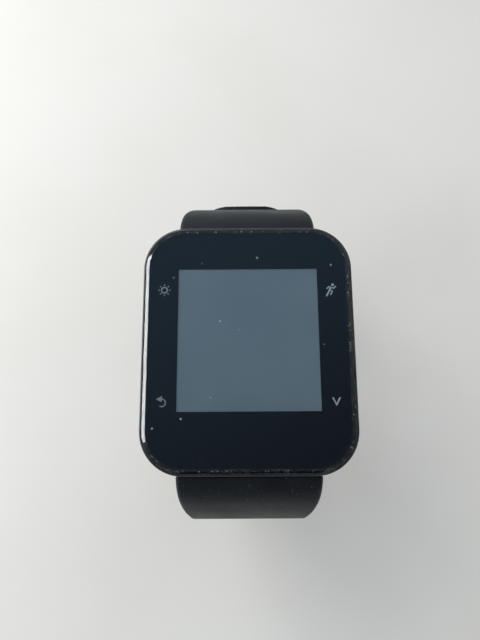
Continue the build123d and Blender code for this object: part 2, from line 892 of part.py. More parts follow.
def strap_plan(end):
    """Outline seen from above: wide at the case, drawn in to the neck."""
    edge = case_y + end * case_length / 2
    far = end * (lower_outer + cut_over)
    back = -end * plan_back
    with BuildSketch(Plane.XY) as plan:
        with BuildLine():
            for side in (-1, 1):
                wide = Line((side * strap_end_half, back), (side * strap_end_half, edge + end * neck_start))
                waist = TangentArc(
                    wide @ 1, (side * strap_neck_half, edge + end * neck_reach), tangent=(0, end)
                )
                Line(waist @ 1, (side * strap_neck_half, far))
            Line((-strap_end_half, back), (strap_end_half, back))
            Line((-strap_neck_half, far), (strap_neck_half, far))
        make_face()
    return plan.sketch


def strap_front():
    """Outline seen from 6 o'clock: narrows from the neck to the strap's own width."""
    wide = strap_end_half + cut_over
    with BuildSketch(Plane.XZ.offset(-lower_outer - cut_over)) as front:
        with BuildLine():
            FilletPolyline(
                (-wide, face_z),
                (-wide, face_z - flare_depth),
                (-strap_neck_half, face_z - neck_depth),
                (-strap_half, face_z - taper_depth),
                (-strap_half, -cut_over),
                (strap_half, -cut_over),
                (strap_half, face_z - taper_depth),
                (strap_neck_half, face_z - neck_depth),
                (wide, face_z - flare_depth),
                (wide, face_z),
                radius=taper_round,
                close=True,
            )
        make_face()
    return front.sketch


def strap_blank(end, lower_lines):
    """Strap before its holes: the side profile cut to the outlines from above and in front."""
    with BuildPart() as blank:
        extrude(strap_outline(end, lower_lines), amount=strap_end_half, both=True)
        with BuildSketch(Plane.XY):
            add(strap_plan(end))
            with Locations((0, -end * (lower_outer + cut_over) / 2)):
                Rectangle(2 * strap_half, lower_outer + cut_over)
        extrude(amount=face_z, mode=Mode.INTERSECT)
        extrude(strap_front(), amount=2 * (lower_outer + cut_over), mode=Mode.INTERSECT)

        # clearance round the case's lug, open towards the case and the wrist
        y, z = pin_y(end), pin_z()
        reach = lug_radius + lug_gap
        with BuildSketch(Plane.YZ):
            with Locations((y, z)):
                Circle(reach)
            with Locations((y, z - pocket_depth / 2)):
                Rectangle(2 * reach, pocket_depth)
            with Locations((y - end * pocket_run / 2, z - (pocket_depth - reach) / 2)):
                Rectangle(pocket_run, pocket_depth + reach)
        extrude(amount=lug_half + lug_gap, both=True, mode=Mode.SUBTRACT)

        # stepped bore for the pin and its screws, through both ears
        for radius, start in ((pin_radius + pin_clearance, 0), (strap_screw_head + pin_clearance, pin_half)):
            for side in (-1, 1):
                with BuildSketch(Plane.YZ.offset(side * start)):
                    with Locations((y, z)):
                        Circle(radius)
                extrude(amount=side * (strap_end_half + cut_over - start), mode=Mode.SUBTRACT)
    return blank.part


def build_short_strap():
    blank = strap_blank(1, short_lower_lines)
    with BuildPart() as strap:
        add(blank)
        # eyelet round the buckle's bar, slotted for the tongue
        with BuildSketch(Plane.YZ):
            with Locations((0, bar_z)):
                Circle(eyelet_radius)
        extrude(amount=strap_half, both=True)
        with BuildSketch(Plane.YZ):
            with Locations((0, bar_z)):
                Circle(bar_radius + bar_clearance)
        extrude(amount=strap_half + cut_over, both=True, mode=Mode.SUBTRACT)
        with BuildSketch(Plane.XZ.offset(-tongue_eye - tongue_slot_gap)):
            with Locations((0, bar_z)):
                Rectangle(2 * tongue_slot_half, 4 * eyelet_radius)
        extrude(amount=4 * eyelet_radius, mode=Mode.SUBTRACT)
    save(strap, "short_strap")


def hole_angles():
    """Angles of the holes about the lower centre, the one in use among them."""
    middle = lower_outer - strap_thickness / 2
    used = -90 - degrees(asin(hole_offset / middle))
    step = degrees(hole_pitch / middle)
    return [used + step * k for k in range(-holes_before, holes_after + 1)]


def build_long_strap():
    blank = strap_blank(-1, long_lower_lines)
    tip_z = centre_z + tail_radius * sin(radians(tail_angle))
    with BuildPart() as strap:
        add(blank)
        # rounded corners of the tail's tip
        with BuildSketch(Plane.XZ.offset(-lower_outer - cut_over)):
            for side in (-1, 1):
                start = side * (strap_half - tail_tip_round)
                beside = side * (strap_half + cut_over)
                with BuildLine():
                    across = Line((beside, tip_z + cut_over), (start, tip_z + cut_over))
                    step = Line(across @ 1, (start, tip_z))
                    bend = TangentArc(
                        step @ 1, (side * strap_half, tip_z - tail_tip_round), tangent=(side, 0)
                    )
                    out = Line(bend @ 1, (beside, tip_z - tail_tip_round))
                    Line(out @ 1, across @ 0)
                make_face()
        extrude(amount=2 * strap_thickness + cut_over + tail_tip_round, mode=Mode.SUBTRACT)

        # the row of holes, cut square through the strap
        middle = lower_outer - strap_thickness / 2
        for angle in hole_angles():
            y, z = polar(lower_centre, middle, angle)
            outward = (0, cos(radians(angle)), sin(radians(angle)))
            with BuildSketch(Plane(origin=(0, y, z), x_dir=(1, 0, 0), z_dir=outward)):
                RectangleRounded(hole_width, hole_length, hole_round)
            extrude(amount=strap_thickness, both=True, mode=Mode.SUBTRACT)
    save(strap, "long_strap")


def build_strap_pins():
    for end, name in ((1, "upper"), (-1, "lower")):
        y, z = pin_y(end), pin_z()
        with BuildPart() as tube:
            with BuildSketch(Plane.YZ.offset(-pin_half + pin_clearance)):
                with Locations((y, z)):
                    Circle(pin_radius)
                    Circle(tube_bore, mode=Mode.SUBTRACT)
            extrude(amount=2 * (pin_half - pin_clearance))
        save(tube, f"{name}_strap_tube")
        with BuildPart() as screws:
            for side in (-1, 1):
                with BuildSketch(Plane.YZ.offset(side * pin_half)):
                    with Locations((y, z)):
                        Circle(strap_screw_head)
                extrude(amount=side * strap_screw_height)
                with BuildSketch(Plane.YZ.offset(side * (pin_half + strap_screw_height))):
                    with Locations((y, z)):
                        RegularPolygon(strap_socket, 6)
                extrude(amount=-side * strap_socket, mode=Mode.SUBTRACT)
                with BuildSketch(Plane.YZ.offset(side * pin_half)):
                    with Locations((y, z)):
                        Circle(strap_shank)
                extrude(amount=-side * strap_shank_length)
        save(screws, f"{name}_strap_screws")


# ---------------------------------------------------------------- buckle and keepers
def touch_angle(point, side):
    """Angle at which a line from a point touches the eye round the buckle's bar."""
    away = point[1] - bar_z
    spread = degrees(acos(arm_eye / hypot(point[0], away)))
    return degrees(atan2(away, point[0])) + side * spread


def buckle_arm(x):
    """Side of the buckle at a given X, from the eye round its bar to the crossbar."""
    foot = (-crossbar_start, 0)
    far = (-crossbar_start - crossbar_width, crossbar_height)
    eye = (0, bar_z)
    with BuildSketch(Plane.YZ.offset(x)) as arm:
        with Locations(eye):
            Circle(arm_eye)
        with BuildLine():
            Polyline(
                eye,
                polar(eye, arm_eye, touch_angle(foot, 1)),
                foot,
                (far[0], 0),
                far,
                polar(eye, arm_eye, touch_angle(far, -1)),
                close=True,
            )
        make_face()
    return arm.sketch


def build_buckle():
    inner = strap_half + arm_gap
    with BuildPart() as frame:
        extrude(buckle_arm(inner), amount=arm_width)
        extrude(buckle_arm(-inner), amount=-arm_width)
        with BuildSketch(Plane.XY):
            with Locations((0, -crossbar_start - crossbar_width / 2)):
                Rectangle(2 * (inner + arm_width), crossbar_width)
        extrude(amount=crossbar_height)
        fillet(frame.edges().filter_by(Axis.Z).group_by(Axis.Y)[0], radius=buckle_corner)
        # resting notch for the tongue
        with BuildSketch(Plane.XY):
            with Locations((0, -crossbar_start - crossbar_width / 2)):
                Rectangle(tongue_width + 4 * notch_clearance, crossbar_width + 2 * cut_over)
        extrude(amount=tongue_ground + tongue_thickness + notch_clearance, mode=Mode.SUBTRACT)
        # blind seats for the bar's tips
        for side in (-1, 1):
            with BuildSketch(Plane.YZ.offset(side * (inner - touch))):
                with Locations((0, bar_z)):
                    Circle(bar_tip_radius + bar_clearance)
            extrude(amount=side * (bar_tip_length + 2 * touch), mode=Mode.SUBTRACT)
    save(frame, "buckle_frame")

    with BuildPart() as tube:
        with BuildSketch(Plane.YZ):
            with Locations((0, bar_z)):
                Circle(bar_radius)
                Circle(bar_tip_radius + bar_clearance, mode=Mode.SUBTRACT)
        extrude(amount=strap_half, both=True)
    save(tube, "spring_bar_tube")
    with BuildPart() as tips:
        for side in (-1, 1):
            with BuildSketch(Plane.YZ.offset(side * (strap_half - bar_tip_seat))):
                with Locations((0, bar_z)):
                    Circle(bar_tip_radius)
            extrude(amount=side * (bar_tip_seat + arm_gap + bar_tip_length))
            with BuildSketch(Plane.YZ.offset(side * (strap_half + bar_clearance))):
                with Locations((0, bar_z)):
                    Circle(bar_radius)
            extrude(amount=side * (arm_gap - 3 * bar_clearance))
    save(tips, "spring_bar_tips")
    coil_half = strap_half - bar_tip_seat - 2 * bar_clearance
    with BuildPart() as coil:
        with BuildSketch(Plane.YZ):
            with Locations((0, bar_z)):
                Circle(bar_tip_radius)
                Circle(bar_tip_radius - coil_wall, mode=Mode.SUBTRACT)
        extrude(amount=coil_half, both=True)
    save(coil, "spring_bar_spring")

    with BuildPart() as tongue:
        with BuildSketch(Plane.YZ):
            with BuildLine():
                FilletPolyline(
                    (-bar_radius - tongue_start, bar_z - tongue_drop),
                    (-tongue_rise_start, bar_z - tongue_drop),
                    (-tongue_rise_end, tongue_z),
                    (-tongue_reach, tongue_z),
                    radius=tongue_bend,
                )
            trace(line_width=tongue_thickness)
            with Locations((0, bar_z)):
                Circle(tongue_eye)
                Circle(bar_radius + bar_clearance, mode=Mode.SUBTRACT)
        extrude(amount=tongue_width / 2, both=True)
    save(tongue, "buckle_tongue")


def keeper_half_angle():
    return degrees(keeper_width / 2 / lower_outer)


def build_keepers():
    passage_in = lower_inner - strap_thickness - keeper_gap
    passage_out = lower_outer + keeper_gap
    half = keeper_half_angle()
    width = strap_half + keeper_gap
    with BuildPart() as keeper:
        extrude(
            sector(
                lower_centre,
                passage_in - keeper_wall,
                passage_out + keeper_wall,
                keeper_angle - half,
                2 * half,
            ),
            amount=width + keeper_wall,
            both=True,
        )
        extrude(
            sector(
                lower_centre,
                passage_in,
                passage_out,
                keeper_angle - half - keeper_over,
                2 * (half + keeper_over),
            ),
            amount=width,
            both=True,
            mode=Mode.SUBTRACT,
        )
    save(keeper, "sliding_keeper")

    start = -90 + degrees(asin(loop_start / lower_outer))
    with BuildPart() as fixed:
        extrude(
            sector(lower_centre, passage_in - keeper_wall, passage_out + 3 * keeper_wall, start, 2 * half),
            amount=width + keeper_wall,
            both=True,
        )
        extrude(
            sector(
                lower_centre, passage_in, passage_out, start - keeper_over, 2 * (half + keeper_over)
            ),
            amount=width,
            both=True,
            mode=Mode.SUBTRACT,
        )
        # flat foot that the loop stands on
        split(bisect_by=Plane.XY, keep=Keep.TOP)
    save(fixed, "fixed_keeper")


build_lens()
build_display()
build_mid_case()
build_rear_cover()
build_sensor()
build_electronics()
build_buttons()
build_short_strap()
build_long_strap()
build_strap_pins()
build_buckle()
build_keepers()
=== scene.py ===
import bpy
import bmesh
import json
import math
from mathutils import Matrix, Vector


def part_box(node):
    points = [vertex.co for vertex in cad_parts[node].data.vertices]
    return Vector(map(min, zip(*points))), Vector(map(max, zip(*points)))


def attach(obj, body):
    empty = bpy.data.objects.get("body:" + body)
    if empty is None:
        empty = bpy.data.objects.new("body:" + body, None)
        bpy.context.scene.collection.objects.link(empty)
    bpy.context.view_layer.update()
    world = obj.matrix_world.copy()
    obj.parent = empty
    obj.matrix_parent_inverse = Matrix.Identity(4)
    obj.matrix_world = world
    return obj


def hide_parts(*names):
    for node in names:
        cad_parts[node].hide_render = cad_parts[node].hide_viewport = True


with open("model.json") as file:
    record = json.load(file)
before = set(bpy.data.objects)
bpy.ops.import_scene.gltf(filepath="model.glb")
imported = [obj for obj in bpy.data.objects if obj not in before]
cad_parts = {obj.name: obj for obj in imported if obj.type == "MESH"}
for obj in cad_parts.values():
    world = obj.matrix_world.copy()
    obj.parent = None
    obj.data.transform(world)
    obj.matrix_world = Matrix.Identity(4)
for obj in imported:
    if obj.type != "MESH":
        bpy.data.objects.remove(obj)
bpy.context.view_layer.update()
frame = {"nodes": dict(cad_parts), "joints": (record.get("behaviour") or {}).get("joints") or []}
nodes = frame["nodes"]
scene = bpy.context.scene
mm = 0.001
print("frame loaded:", len(nodes), "nodes")

# places and sizes that several pieces share, read from the frame
caseLow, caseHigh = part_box("mid_case")
coverLow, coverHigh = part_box("rear_cover")
lensLow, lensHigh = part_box("lens")
displayLow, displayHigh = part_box("display_panel")
barLow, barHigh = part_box("spring_bar_tube")
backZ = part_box("charging_pins")[0].z  # flat of the back
joints = {joint["name"]: joint for joint in frame["joints"]}
faceZ = lensHigh.z
caseMid = (lensLow.y + lensHigh.y) / 2
coverInset = 0.25 * mm  # the cover ends this far inside the case
caseHalfLength = (coverHigh.y - coverLow.y) / 2 + coverInset
loopCentreZ = joints["keeper_slide"]["pos_m"][2]
barZ = joints["buckle_swing"]["pos_m"][2]
barRadius = (barHigh.z - barLow.z) / 2
lowerOuter = -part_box("long_strap")[0].y  # outside of the long strap round the bottom
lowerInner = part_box("short_strap")[1].y  # outside of the short strap round the bottom
mergeDistance = 1e-7
circleSteps = 40


# mesh helpers

def linked(name, mesh):
    obj = bpy.data.objects.new(name, mesh)
    scene.collection.objects.link(obj)
    return obj


def facingOut(mesh):
    work = bmesh.new()
    work.from_mesh(mesh)
    bmesh.ops.remove_doubles(work, verts=work.verts, dist=mergeDistance)
    bmesh.ops.recalc_face_normals(work, faces=work.faces)
    work.to_mesh(mesh)
    work.free()


def meshFrom(name, verts, faces):
    mesh = bpy.data.meshes.new(name)
    mesh.from_pydata([tuple(v) for v in verts], [], faces)
    facingOut(mesh)
    mesh.shade_smooth()
    return linked(name, mesh)


def loft(name, rings, joined=False):
    # quads between rings of equal length; joined closes the last ring onto the first
    count = len(rings[0])
    faces = []
    for i in range(len(rings) if joined else len(rings) - 1):
        a, b = i * count, (i + 1) % len(rings) * count
        faces += [(a + j, a + (j + 1) % count, b + (j + 1) % count, b + j) for j in range(count)]
    if not joined:
        faces.append(tuple(range(count)))
        faces.append(tuple(range(len(rings) * count - 1, (len(rings) - 1) * count - 1, -1)))
    return meshFrom(name, [p for ring in rings for p in ring], faces)


def roundedOutline(halfX, halfY, radius, steps=8):
    points = []
    for signX, signY, start in ((1, 1, 0), (-1, 1, 90), (-1, -1, 180), (1, -1, 270)):
        for step in range(steps + 1):
            angle = math.radians(start + 90 * step / steps)
            points.append((signX * (halfX - radius) + radius * math.cos(angle),
                           signY * (halfY - radius) + radius * math.sin(angle)))
    return points


def applied(obj):
    graph = bpy.context.evaluated_depsgraph_get()
    mesh = bpy.data.meshes.new_from_object(obj.evaluated_get(graph))
    obj.modifiers.clear()
    obj.data = mesh
    return obj


def combined(obj, other, operation="DIFFERENCE"):
    step = obj.modifiers.new("combine", "BOOLEAN")
    step.operation = operation
    step.solver = "EXACT"
    step.object = other
    applied(obj)
    bpy.data.objects.remove(other)
    return obj


def crisp(obj, degrees=32, flats=True):
    # smooth shading that keeps true edges and lets the large faces stay flat
    obj.data.shade_smooth()
    obj.data.set_sharp_from_angle(angle=math.radians(degrees))
    if flats:
        obj.modifiers.new("normals", "WEIGHTED_NORMAL").keep_sharp = True
        applied(obj)
    return obj


def bevelled(obj, width, degrees=30):
    step = obj.modifiers.new("bevel", "BEVEL")
    step.width = width
    step.segments = 3
    step.limit_method = "ANGLE"
    step.angle_limit = math.radians(degrees)
    return crisp(applied(obj), 40)


def prism(name, outline, plane, low, high):
    # plane "YZ" pushes an outline along X, "XY" along Z
    def level(depth):
        return [(depth, a, b) if plane == "YZ" else (a, b, depth) for a, b in outline]
    return loft(name, [level(low), level(high)])


def circle(radius, steps=circleSteps):
    return [(radius * math.cos(2 * math.pi * i / steps), radius * math.sin(2 * math.pi * i / steps))
            for i in range(steps)]


def rod(name, y, z, radius, low, high):
    return prism(name, [(y + a, z + b) for a, b in circle(radius)], "YZ", low, high)


# shader helpers

class Tree:
    # short way to add nodes: inputs are numbers, tuples or the output sockets of other nodes
    def __init__(self, tree):
        self.tree = tree

    def node(self, kind, inputs=None, **settings):
        made = self.tree.nodes.new("ShaderNode" + kind)
        for key, value in settings.items():
            setattr(made, key, value)
        for key, value in (inputs or {}).items():
            self.feed(value, made.inputs[key])
        return made

    def feed(self, value, socket):
        if isinstance(value, bpy.types.NodeSocket):
            self.tree.links.new(value, socket)
        else:
            socket.default_value = value

    def math(self, operation, a, b=0.0, clamp=False):
        return self.node("Math", {0: a, 1: b}, operation=operation, use_clamp=clamp).outputs[0]

    def vector(self, operation, a, b=(0, 0, 0)):
        made = self.node("VectorMath", {0: a, 1: b}, operation=operation)
        return made.outputs["Value" if operation in ("LENGTH", "DOT_PRODUCT") else "Vector"]

    def ramp(self, value, low, high, start=0.0, end=1.0):
        inputs = {"Value": value, "From Min": low, "From Max": high, "To Min": start, "To Max": end}
        return self.node("MapRange", inputs, interpolation_type="SMOOTHSTEP").outputs["Result"]

    def mix(self, factor, a, b):
        made = self.node("Mix", data_type="RGBA")
        for index, value in ((0, factor), (6, a), (7, b)):
            self.feed(value, made.inputs[index])
        return made.outputs[2]

    def group(self, name, inputs):
        made = self.node("Group", node_tree=bpy.data.node_groups[name])
        for key, value in inputs.items():
            self.feed(value, made.inputs[key])
        return made.outputs


def effect(name, inputs, outputs):
    group = bpy.data.node_groups.new(name, "ShaderNodeTree")
    for label, value in inputs.items():
        kind = "NodeSocketVector" if isinstance(value, tuple) else "NodeSocketFloat"
        group.interface.new_socket(label, in_out="INPUT", socket_type=kind).default_value = value
    for label in outputs:
        group.interface.new_socket(label, in_out="OUTPUT", socket_type="NodeSocketFloat")
    tree = Tree(group)
    return tree, group.nodes.new("NodeGroupInput").outputs, group.nodes.new("NodeGroupOutput").inputs


effectSize = {
    "scratchTurns": (0.5, 2.0, 1.3), "scratchStretch": (1, 14, 1), "scratchWidth": 0.09,
    "dustFade": 0.5, "dustLeast": 0.01,
}


def makeEffects():
    size = effectSize

    # grain: slow tone variation and fine height, for anything moulded
    tree, given, out = effect("grain", {"Vector": (0, 0, 0), "Tone Scale": 300.0, "Fine Scale": 6000.0},
                              ["Tone", "Height"])
    tone = tree.node("TexNoise", {"Vector": given["Vector"], "Scale": given["Tone Scale"], "Detail": 4.0})
    fine = tree.node("TexNoise", {"Vector": given["Vector"], "Scale": given["Fine Scale"], "Detail": 2.0})
    tree.tree.links.new(tone.outputs["Fac"], out["Tone"])
    tree.tree.links.new(fine.outputs["Fac"], out["Height"])

    # specks: scattered dust, a share of the cells holding one speck each
    tree, given, out = effect("specks", {"Vector": (0, 0, 0), "Scale": 1200.0, "Share": 0.1, "Size": 0.2},
                              ["Mask"])
    cells = tree.node("TexVoronoi", {"Vector": given["Vector"], "Scale": given["Scale"]})
    parts = tree.node("SeparateColor", {"Color": cells.outputs["Color"]}).outputs
    reach = tree.math("MULTIPLY", given["Size"], parts[1])
    near = tree.math("SUBTRACT", 1.0, tree.math("DIVIDE", cells.outputs["Distance"],
                                                tree.math("ADD", reach, size["dustLeast"])), clamp=True)
    chosen = tree.math("LESS_THAN", parts[0], given["Share"])
    soft = tree.math("POWER", near, size["dustFade"])
    tree.tree.links.new(tree.math("MULTIPLY", soft, chosen), out["Mask"])

    # hairlines: short fine scratches along three directions
    tree, given, out = effect("hairlines", {"Vector": (0, 0, 0), "Scale": 500.0, "Share": 0.12}, ["Mask"])
    lines = []
    for turn in size["scratchTurns"]:
        spun = tree.node("Mapping", {"Vector": given["Vector"], "Rotation": (0, 0, turn),
                                     "Scale": size["scratchStretch"]})
        cells = tree.node("TexVoronoi", {"Vector": spun.outputs[0], "Scale": given["Scale"]})
        parts = tree.node("SeparateColor", {"Color": cells.outputs["Color"]}).outputs
        line = tree.math("LESS_THAN", cells.outputs["Distance"], size["scratchWidth"])
        lines.append(tree.math("MULTIPLY", line, tree.math("LESS_THAN", parts[0], given["Share"])))
    every = tree.math("MAXIMUM", tree.math("MAXIMUM", lines[0], lines[1]), lines[2])
    tree.tree.links.new(every, out["Mask"])

    # edgeBand: a broken line that follows a rounded rectangle round the origin
    tree, given, out = effect("edgeBand", {"Vector": (0, 0, 0), "Half": (0.017, 0.02, 0), "Radius": 0.006,
                                           "Width": 0.0001, "Break Scale": 900.0, "Kept Share": 0.5},
                              ["Mask", "Distance"])
    corner = tree.node("CombineXYZ", {0: given["Radius"], 1: given["Radius"], 2: 0.0}).outputs[0]
    flat = tree.vector("MULTIPLY", tree.vector("ABSOLUTE", given["Vector"]), (1, 1, 0))
    past = tree.vector("SUBTRACT", flat, tree.vector("SUBTRACT", given["Half"], corner))
    outside = tree.vector("LENGTH", tree.vector("MAXIMUM", past, (0, 0, 0)))
    axes = tree.node("SeparateXYZ", {0: past}).outputs
    inside = tree.math("MINIMUM", tree.math("MAXIMUM", axes[0], axes[1]), 0.0)
    distance = tree.math("SUBTRACT", tree.math("ADD", outside, inside), given["Radius"])
    band = tree.math("SUBTRACT", 1.0, tree.math("DIVIDE", tree.math("ABSOLUTE", distance), given["Width"]),
                     clamp=True)
    broken = tree.node("TexNoise", {"Vector": given["Vector"], "Scale": given["Break Scale"], "Detail": 6.0})
    cut = tree.math("GREATER_THAN", broken.outputs["Fac"], tree.math("SUBTRACT", 1.0, given["Kept Share"]))
    tree.tree.links.new(tree.math("MULTIPLY", band, cut), out["Mask"])
    tree.tree.links.new(distance, out["Distance"])


def material(name, **plain):
    made = bpy.data.materials.new(name)
    made.use_nodes = True
    tree = Tree(made.node_tree)
    shader = made.node_tree.nodes["Principled BSDF"]
    for key, value in plain.items():
        shader.inputs[key.replace("_", " ")].default_value = value
    where = tree.node("TexCoord").outputs["Object"]
    return made, tree, shader, where


def drive(tree, shader, **sockets):
    for key, value in sockets.items():
        tree.tree.links.new(value, shader.inputs[key.replace("_", " ")])


def bumped(tree, height, distance, strength=1.0):
    return tree.node("Bump", {"Height": height, "Distance": distance, "Strength": strength}).outputs[0]


def rgb(red, green, blue):
    return (red, green, blue, 1.0)


# camera, floor and light

view = {
    "place": (-1.14 * mm, -10.72 * mm, 132.94 * mm), "turn": (10.433, 0.223, -0.351),
    "focal": 460.0, "frame": 640.0, "sensor": 36.0, "nearest": 1 * mm,
}


def makeCamera():
    data = bpy.data.cameras.new("camera")
    data.sensor_width = view["sensor"]
    data.lens = view["focal"] / view["frame"] * view["sensor"]
    data.clip_start = view["nearest"]
    camera = linked("camera", data)
    camera.location = view["place"]
    camera.rotation_euler = [math.radians(a) for a in view["turn"]]
    scene.camera = camera


lighting = {
    "zenith": (0.16, 0.27, 0.40), "zenithFar": (0.07, 0.10, 0.14), "zenithBand": (0.7, 0.9),
    "high": (1.30, 1.31, 1.29), "highFar": (0.52, 0.52, 0.52), "highBand": (0.25, 0.55),
    "low": (0.32, 0.33, 0.34), "lowFar": (0.05, 0.05, 0.055),
    "bright": (-0.42, 0.9, 0.0), "brightBand": (-0.7, 0.7), "brightZenith": (-0.25, 0.4),
    "windowPower": 0.8, "windowColor": (0.97, 0.99, 1.0),
    "windowPlace": (-0.36, 0.05, 0.115), "windowSize": (0.36, 0.055),
    "keyPower": 1.0, "keyColor": (1.0, 0.985, 0.95), "keyPlace": (-0.26, 0.34, 0.34), "keySize": (0.34, 0.3),
    "aim": (0, 0, 0.04),
}
floorLook = {
    "half": 1.2, "light": (0.90, 0.88, 0.84), "dark": (0.87, 0.845, 0.80), "roughness": 0.62, "gloss": 0.25,
    "patch": 18.0,
}


def areaLight(name, place, size, power, color):
    data = bpy.data.lights.new(name, "AREA")
    data.shape = "RECTANGLE"
    data.size, data.size_y = size
    data.energy = power
    data.color = color
    lamp = linked(name, data)
    lamp.location = place
    lamp.rotation_euler = (Vector(lighting["aim"]) - Vector(place)).to_track_quat("-Z", "Y").to_euler()


def makeSurroundings():
    look = floorLook
    half = look["half"]
    corners = [(-half, -half, 0), (half, -half, 0), (half, half, 0), (-half, half, 0)]
    floor = meshFrom("floor", corners, [(0, 1, 2, 3)])
    if floor.data.polygons[0].normal.z < 0:
        floor.data.flip_normals()
    made, tree, shader, where = material("paleFloor", Roughness=look["roughness"],
                                         Specular_IOR_Level=look["gloss"])
    grain = tree.group("grain", {"Vector": where, "Tone Scale": look["patch"]})
    drive(tree, shader, Base_Color=tree.mix(tree.ramp(grain["Tone"], 0.35, 0.65), rgb(*look["light"]),
                                            rgb(*look["dark"])))
    floor.data.materials.append(made)

    world = bpy.data.worlds.new("studio")
    world.use_nodes = True
    scene.world = world
    tree = Tree(world.node_tree)
    toward = tree.node("TexCoord").outputs["Generated"]
    up = tree.node("SeparateXYZ", {0: toward}).outputs[2]
    side = tree.vector("DOT_PRODUCT", toward, lighting["bright"])
    share = tree.ramp(side, *lighting["brightBand"])
    near = tree.ramp(side, *lighting["brightZenith"])
    low = tree.mix(share, rgb(*lighting["lowFar"]), rgb(*lighting["low"]))
    high = tree.mix(share, rgb(*lighting["highFar"]), rgb(*lighting["high"]))
    zenith = tree.mix(near, rgb(*lighting["zenithFar"]), rgb(*lighting["zenith"]))
    lower = tree.mix(tree.ramp(up, *lighting["highBand"]), low, high)
    back = world.node_tree.nodes["Background"]
    world.node_tree.links.new(tree.mix(tree.ramp(up, *lighting["zenithBand"]), lower, zenith),
                              back.inputs["Color"])

    for name in ("window", "key"):
        areaLight(name, *[lighting[name + part] for part in ("Place", "Size", "Power", "Color")])


scene.view_settings.view_transform = "Standard"
makeEffects()
makeCamera()
makeSurroundings()
print("camera, floor and light ready")


# finishes

def grainyFinish(name, color, other, roughness, grit, bump=2e-6, scale=300.0, fine=6000.0, **plain):
    # the base of every moulded, cast or printed part: two tones, uneven roughness and fine texture
    made, tree, shader, where = material(name, **plain)
    grain = tree.group("grain", {"Vector": where, "Tone Scale": scale, "Fine Scale": fine})
    tone = tree.ramp(grain["Tone"], 0.3, 0.7)
    drive(tree, shader, Base_Color=tree.mix(tone, rgb(*color), rgb(*other)),
          Roughness=tree.ramp(grain["Tone"], 0.3, 0.7, roughness, roughness + grit),
          Normal=bumped(tree, grain["Height"], bump))
    return made


siliconeLook = {
    "dark": (0.0075, 0.0095, 0.0135), "light": (0.0115, 0.014, 0.019), "dust": (0.34, 0.34, 0.34),
    "gloss": 0.2, "tint": (0.86, 0.94, 1.0), "roughness": (0.46, 0.56), "bump": 3e-6,
    "patch": 160.0, "grain": 9000.0, "fineScale": 2600.0, "fineSize": 0.34, "coarseScale": 900.0,
    "coarseSize": 0.17, "coarseShare": 0.025, "share": 0.05, "nearShare": 0.26, "nearReach": 9 * mm,
    "nearStart": 0.5 * mm, "scratchScale": 260.0, "scratchShare": 0.05, "dustWeight": 0.38,
    "scratchWeight": 0.05, "dustHeight": 2.0,
}


def siliconeFinish():
    # dust gathers on the lower half where it leaves the case
    look = siliconeLook
    made, tree, shader, where = material("strapSilicone", Specular_IOR_Level=look["gloss"],
                                         Specular_Tint=rgb(*look["tint"]))
    along = tree.node("SeparateXYZ", {0: where}).outputs[1]
    start = coverLow.y - look["nearStart"]
    gathered = tree.math("MULTIPLY", tree.ramp(along, coverLow.y - look["nearReach"], start),
                         tree.math("LESS_THAN", along, 0.0))
    share = tree.math("ADD", tree.math("MULTIPLY", gathered, look["nearShare"]), look["share"])
    grain = tree.group("grain", {"Vector": where, "Tone Scale": look["patch"], "Fine Scale": look["grain"]})
    fine = tree.group("specks", {"Vector": where, "Scale": look["fineScale"], "Size": look["fineSize"],
                                 "Share": share})
    coarse = tree.group("specks", {"Vector": where, "Scale": look["coarseScale"],
                                   "Share": look["coarseShare"], "Size": look["coarseSize"]})
    lines = tree.group("hairlines", {"Vector": where, "Scale": look["scratchScale"],
                                     "Share": look["scratchShare"]})
    tone = tree.mix(tree.ramp(grain["Tone"], 0.3, 0.7), rgb(*look["dark"]), rgb(*look["light"]))
    dirt = tree.math("MAXIMUM", fine["Mask"], coarse["Mask"])
    marks = tree.math("ADD", tree.math("MULTIPLY", dirt, look["dustWeight"]),
                      tree.math("MULTIPLY", lines["Mask"], look["scratchWeight"]), clamp=True)
    height = tree.math("ADD", grain["Height"], tree.math("MULTIPLY", dirt, look["dustHeight"]))
    drive(tree, shader, Base_Color=tree.mix(marks, tone, rgb(*look["dust"])),
          Roughness=tree.ramp(grain["Tone"], 0.3, 0.7, *look["roughness"]),
          Normal=bumped(tree, height, look["bump"]))
    return made


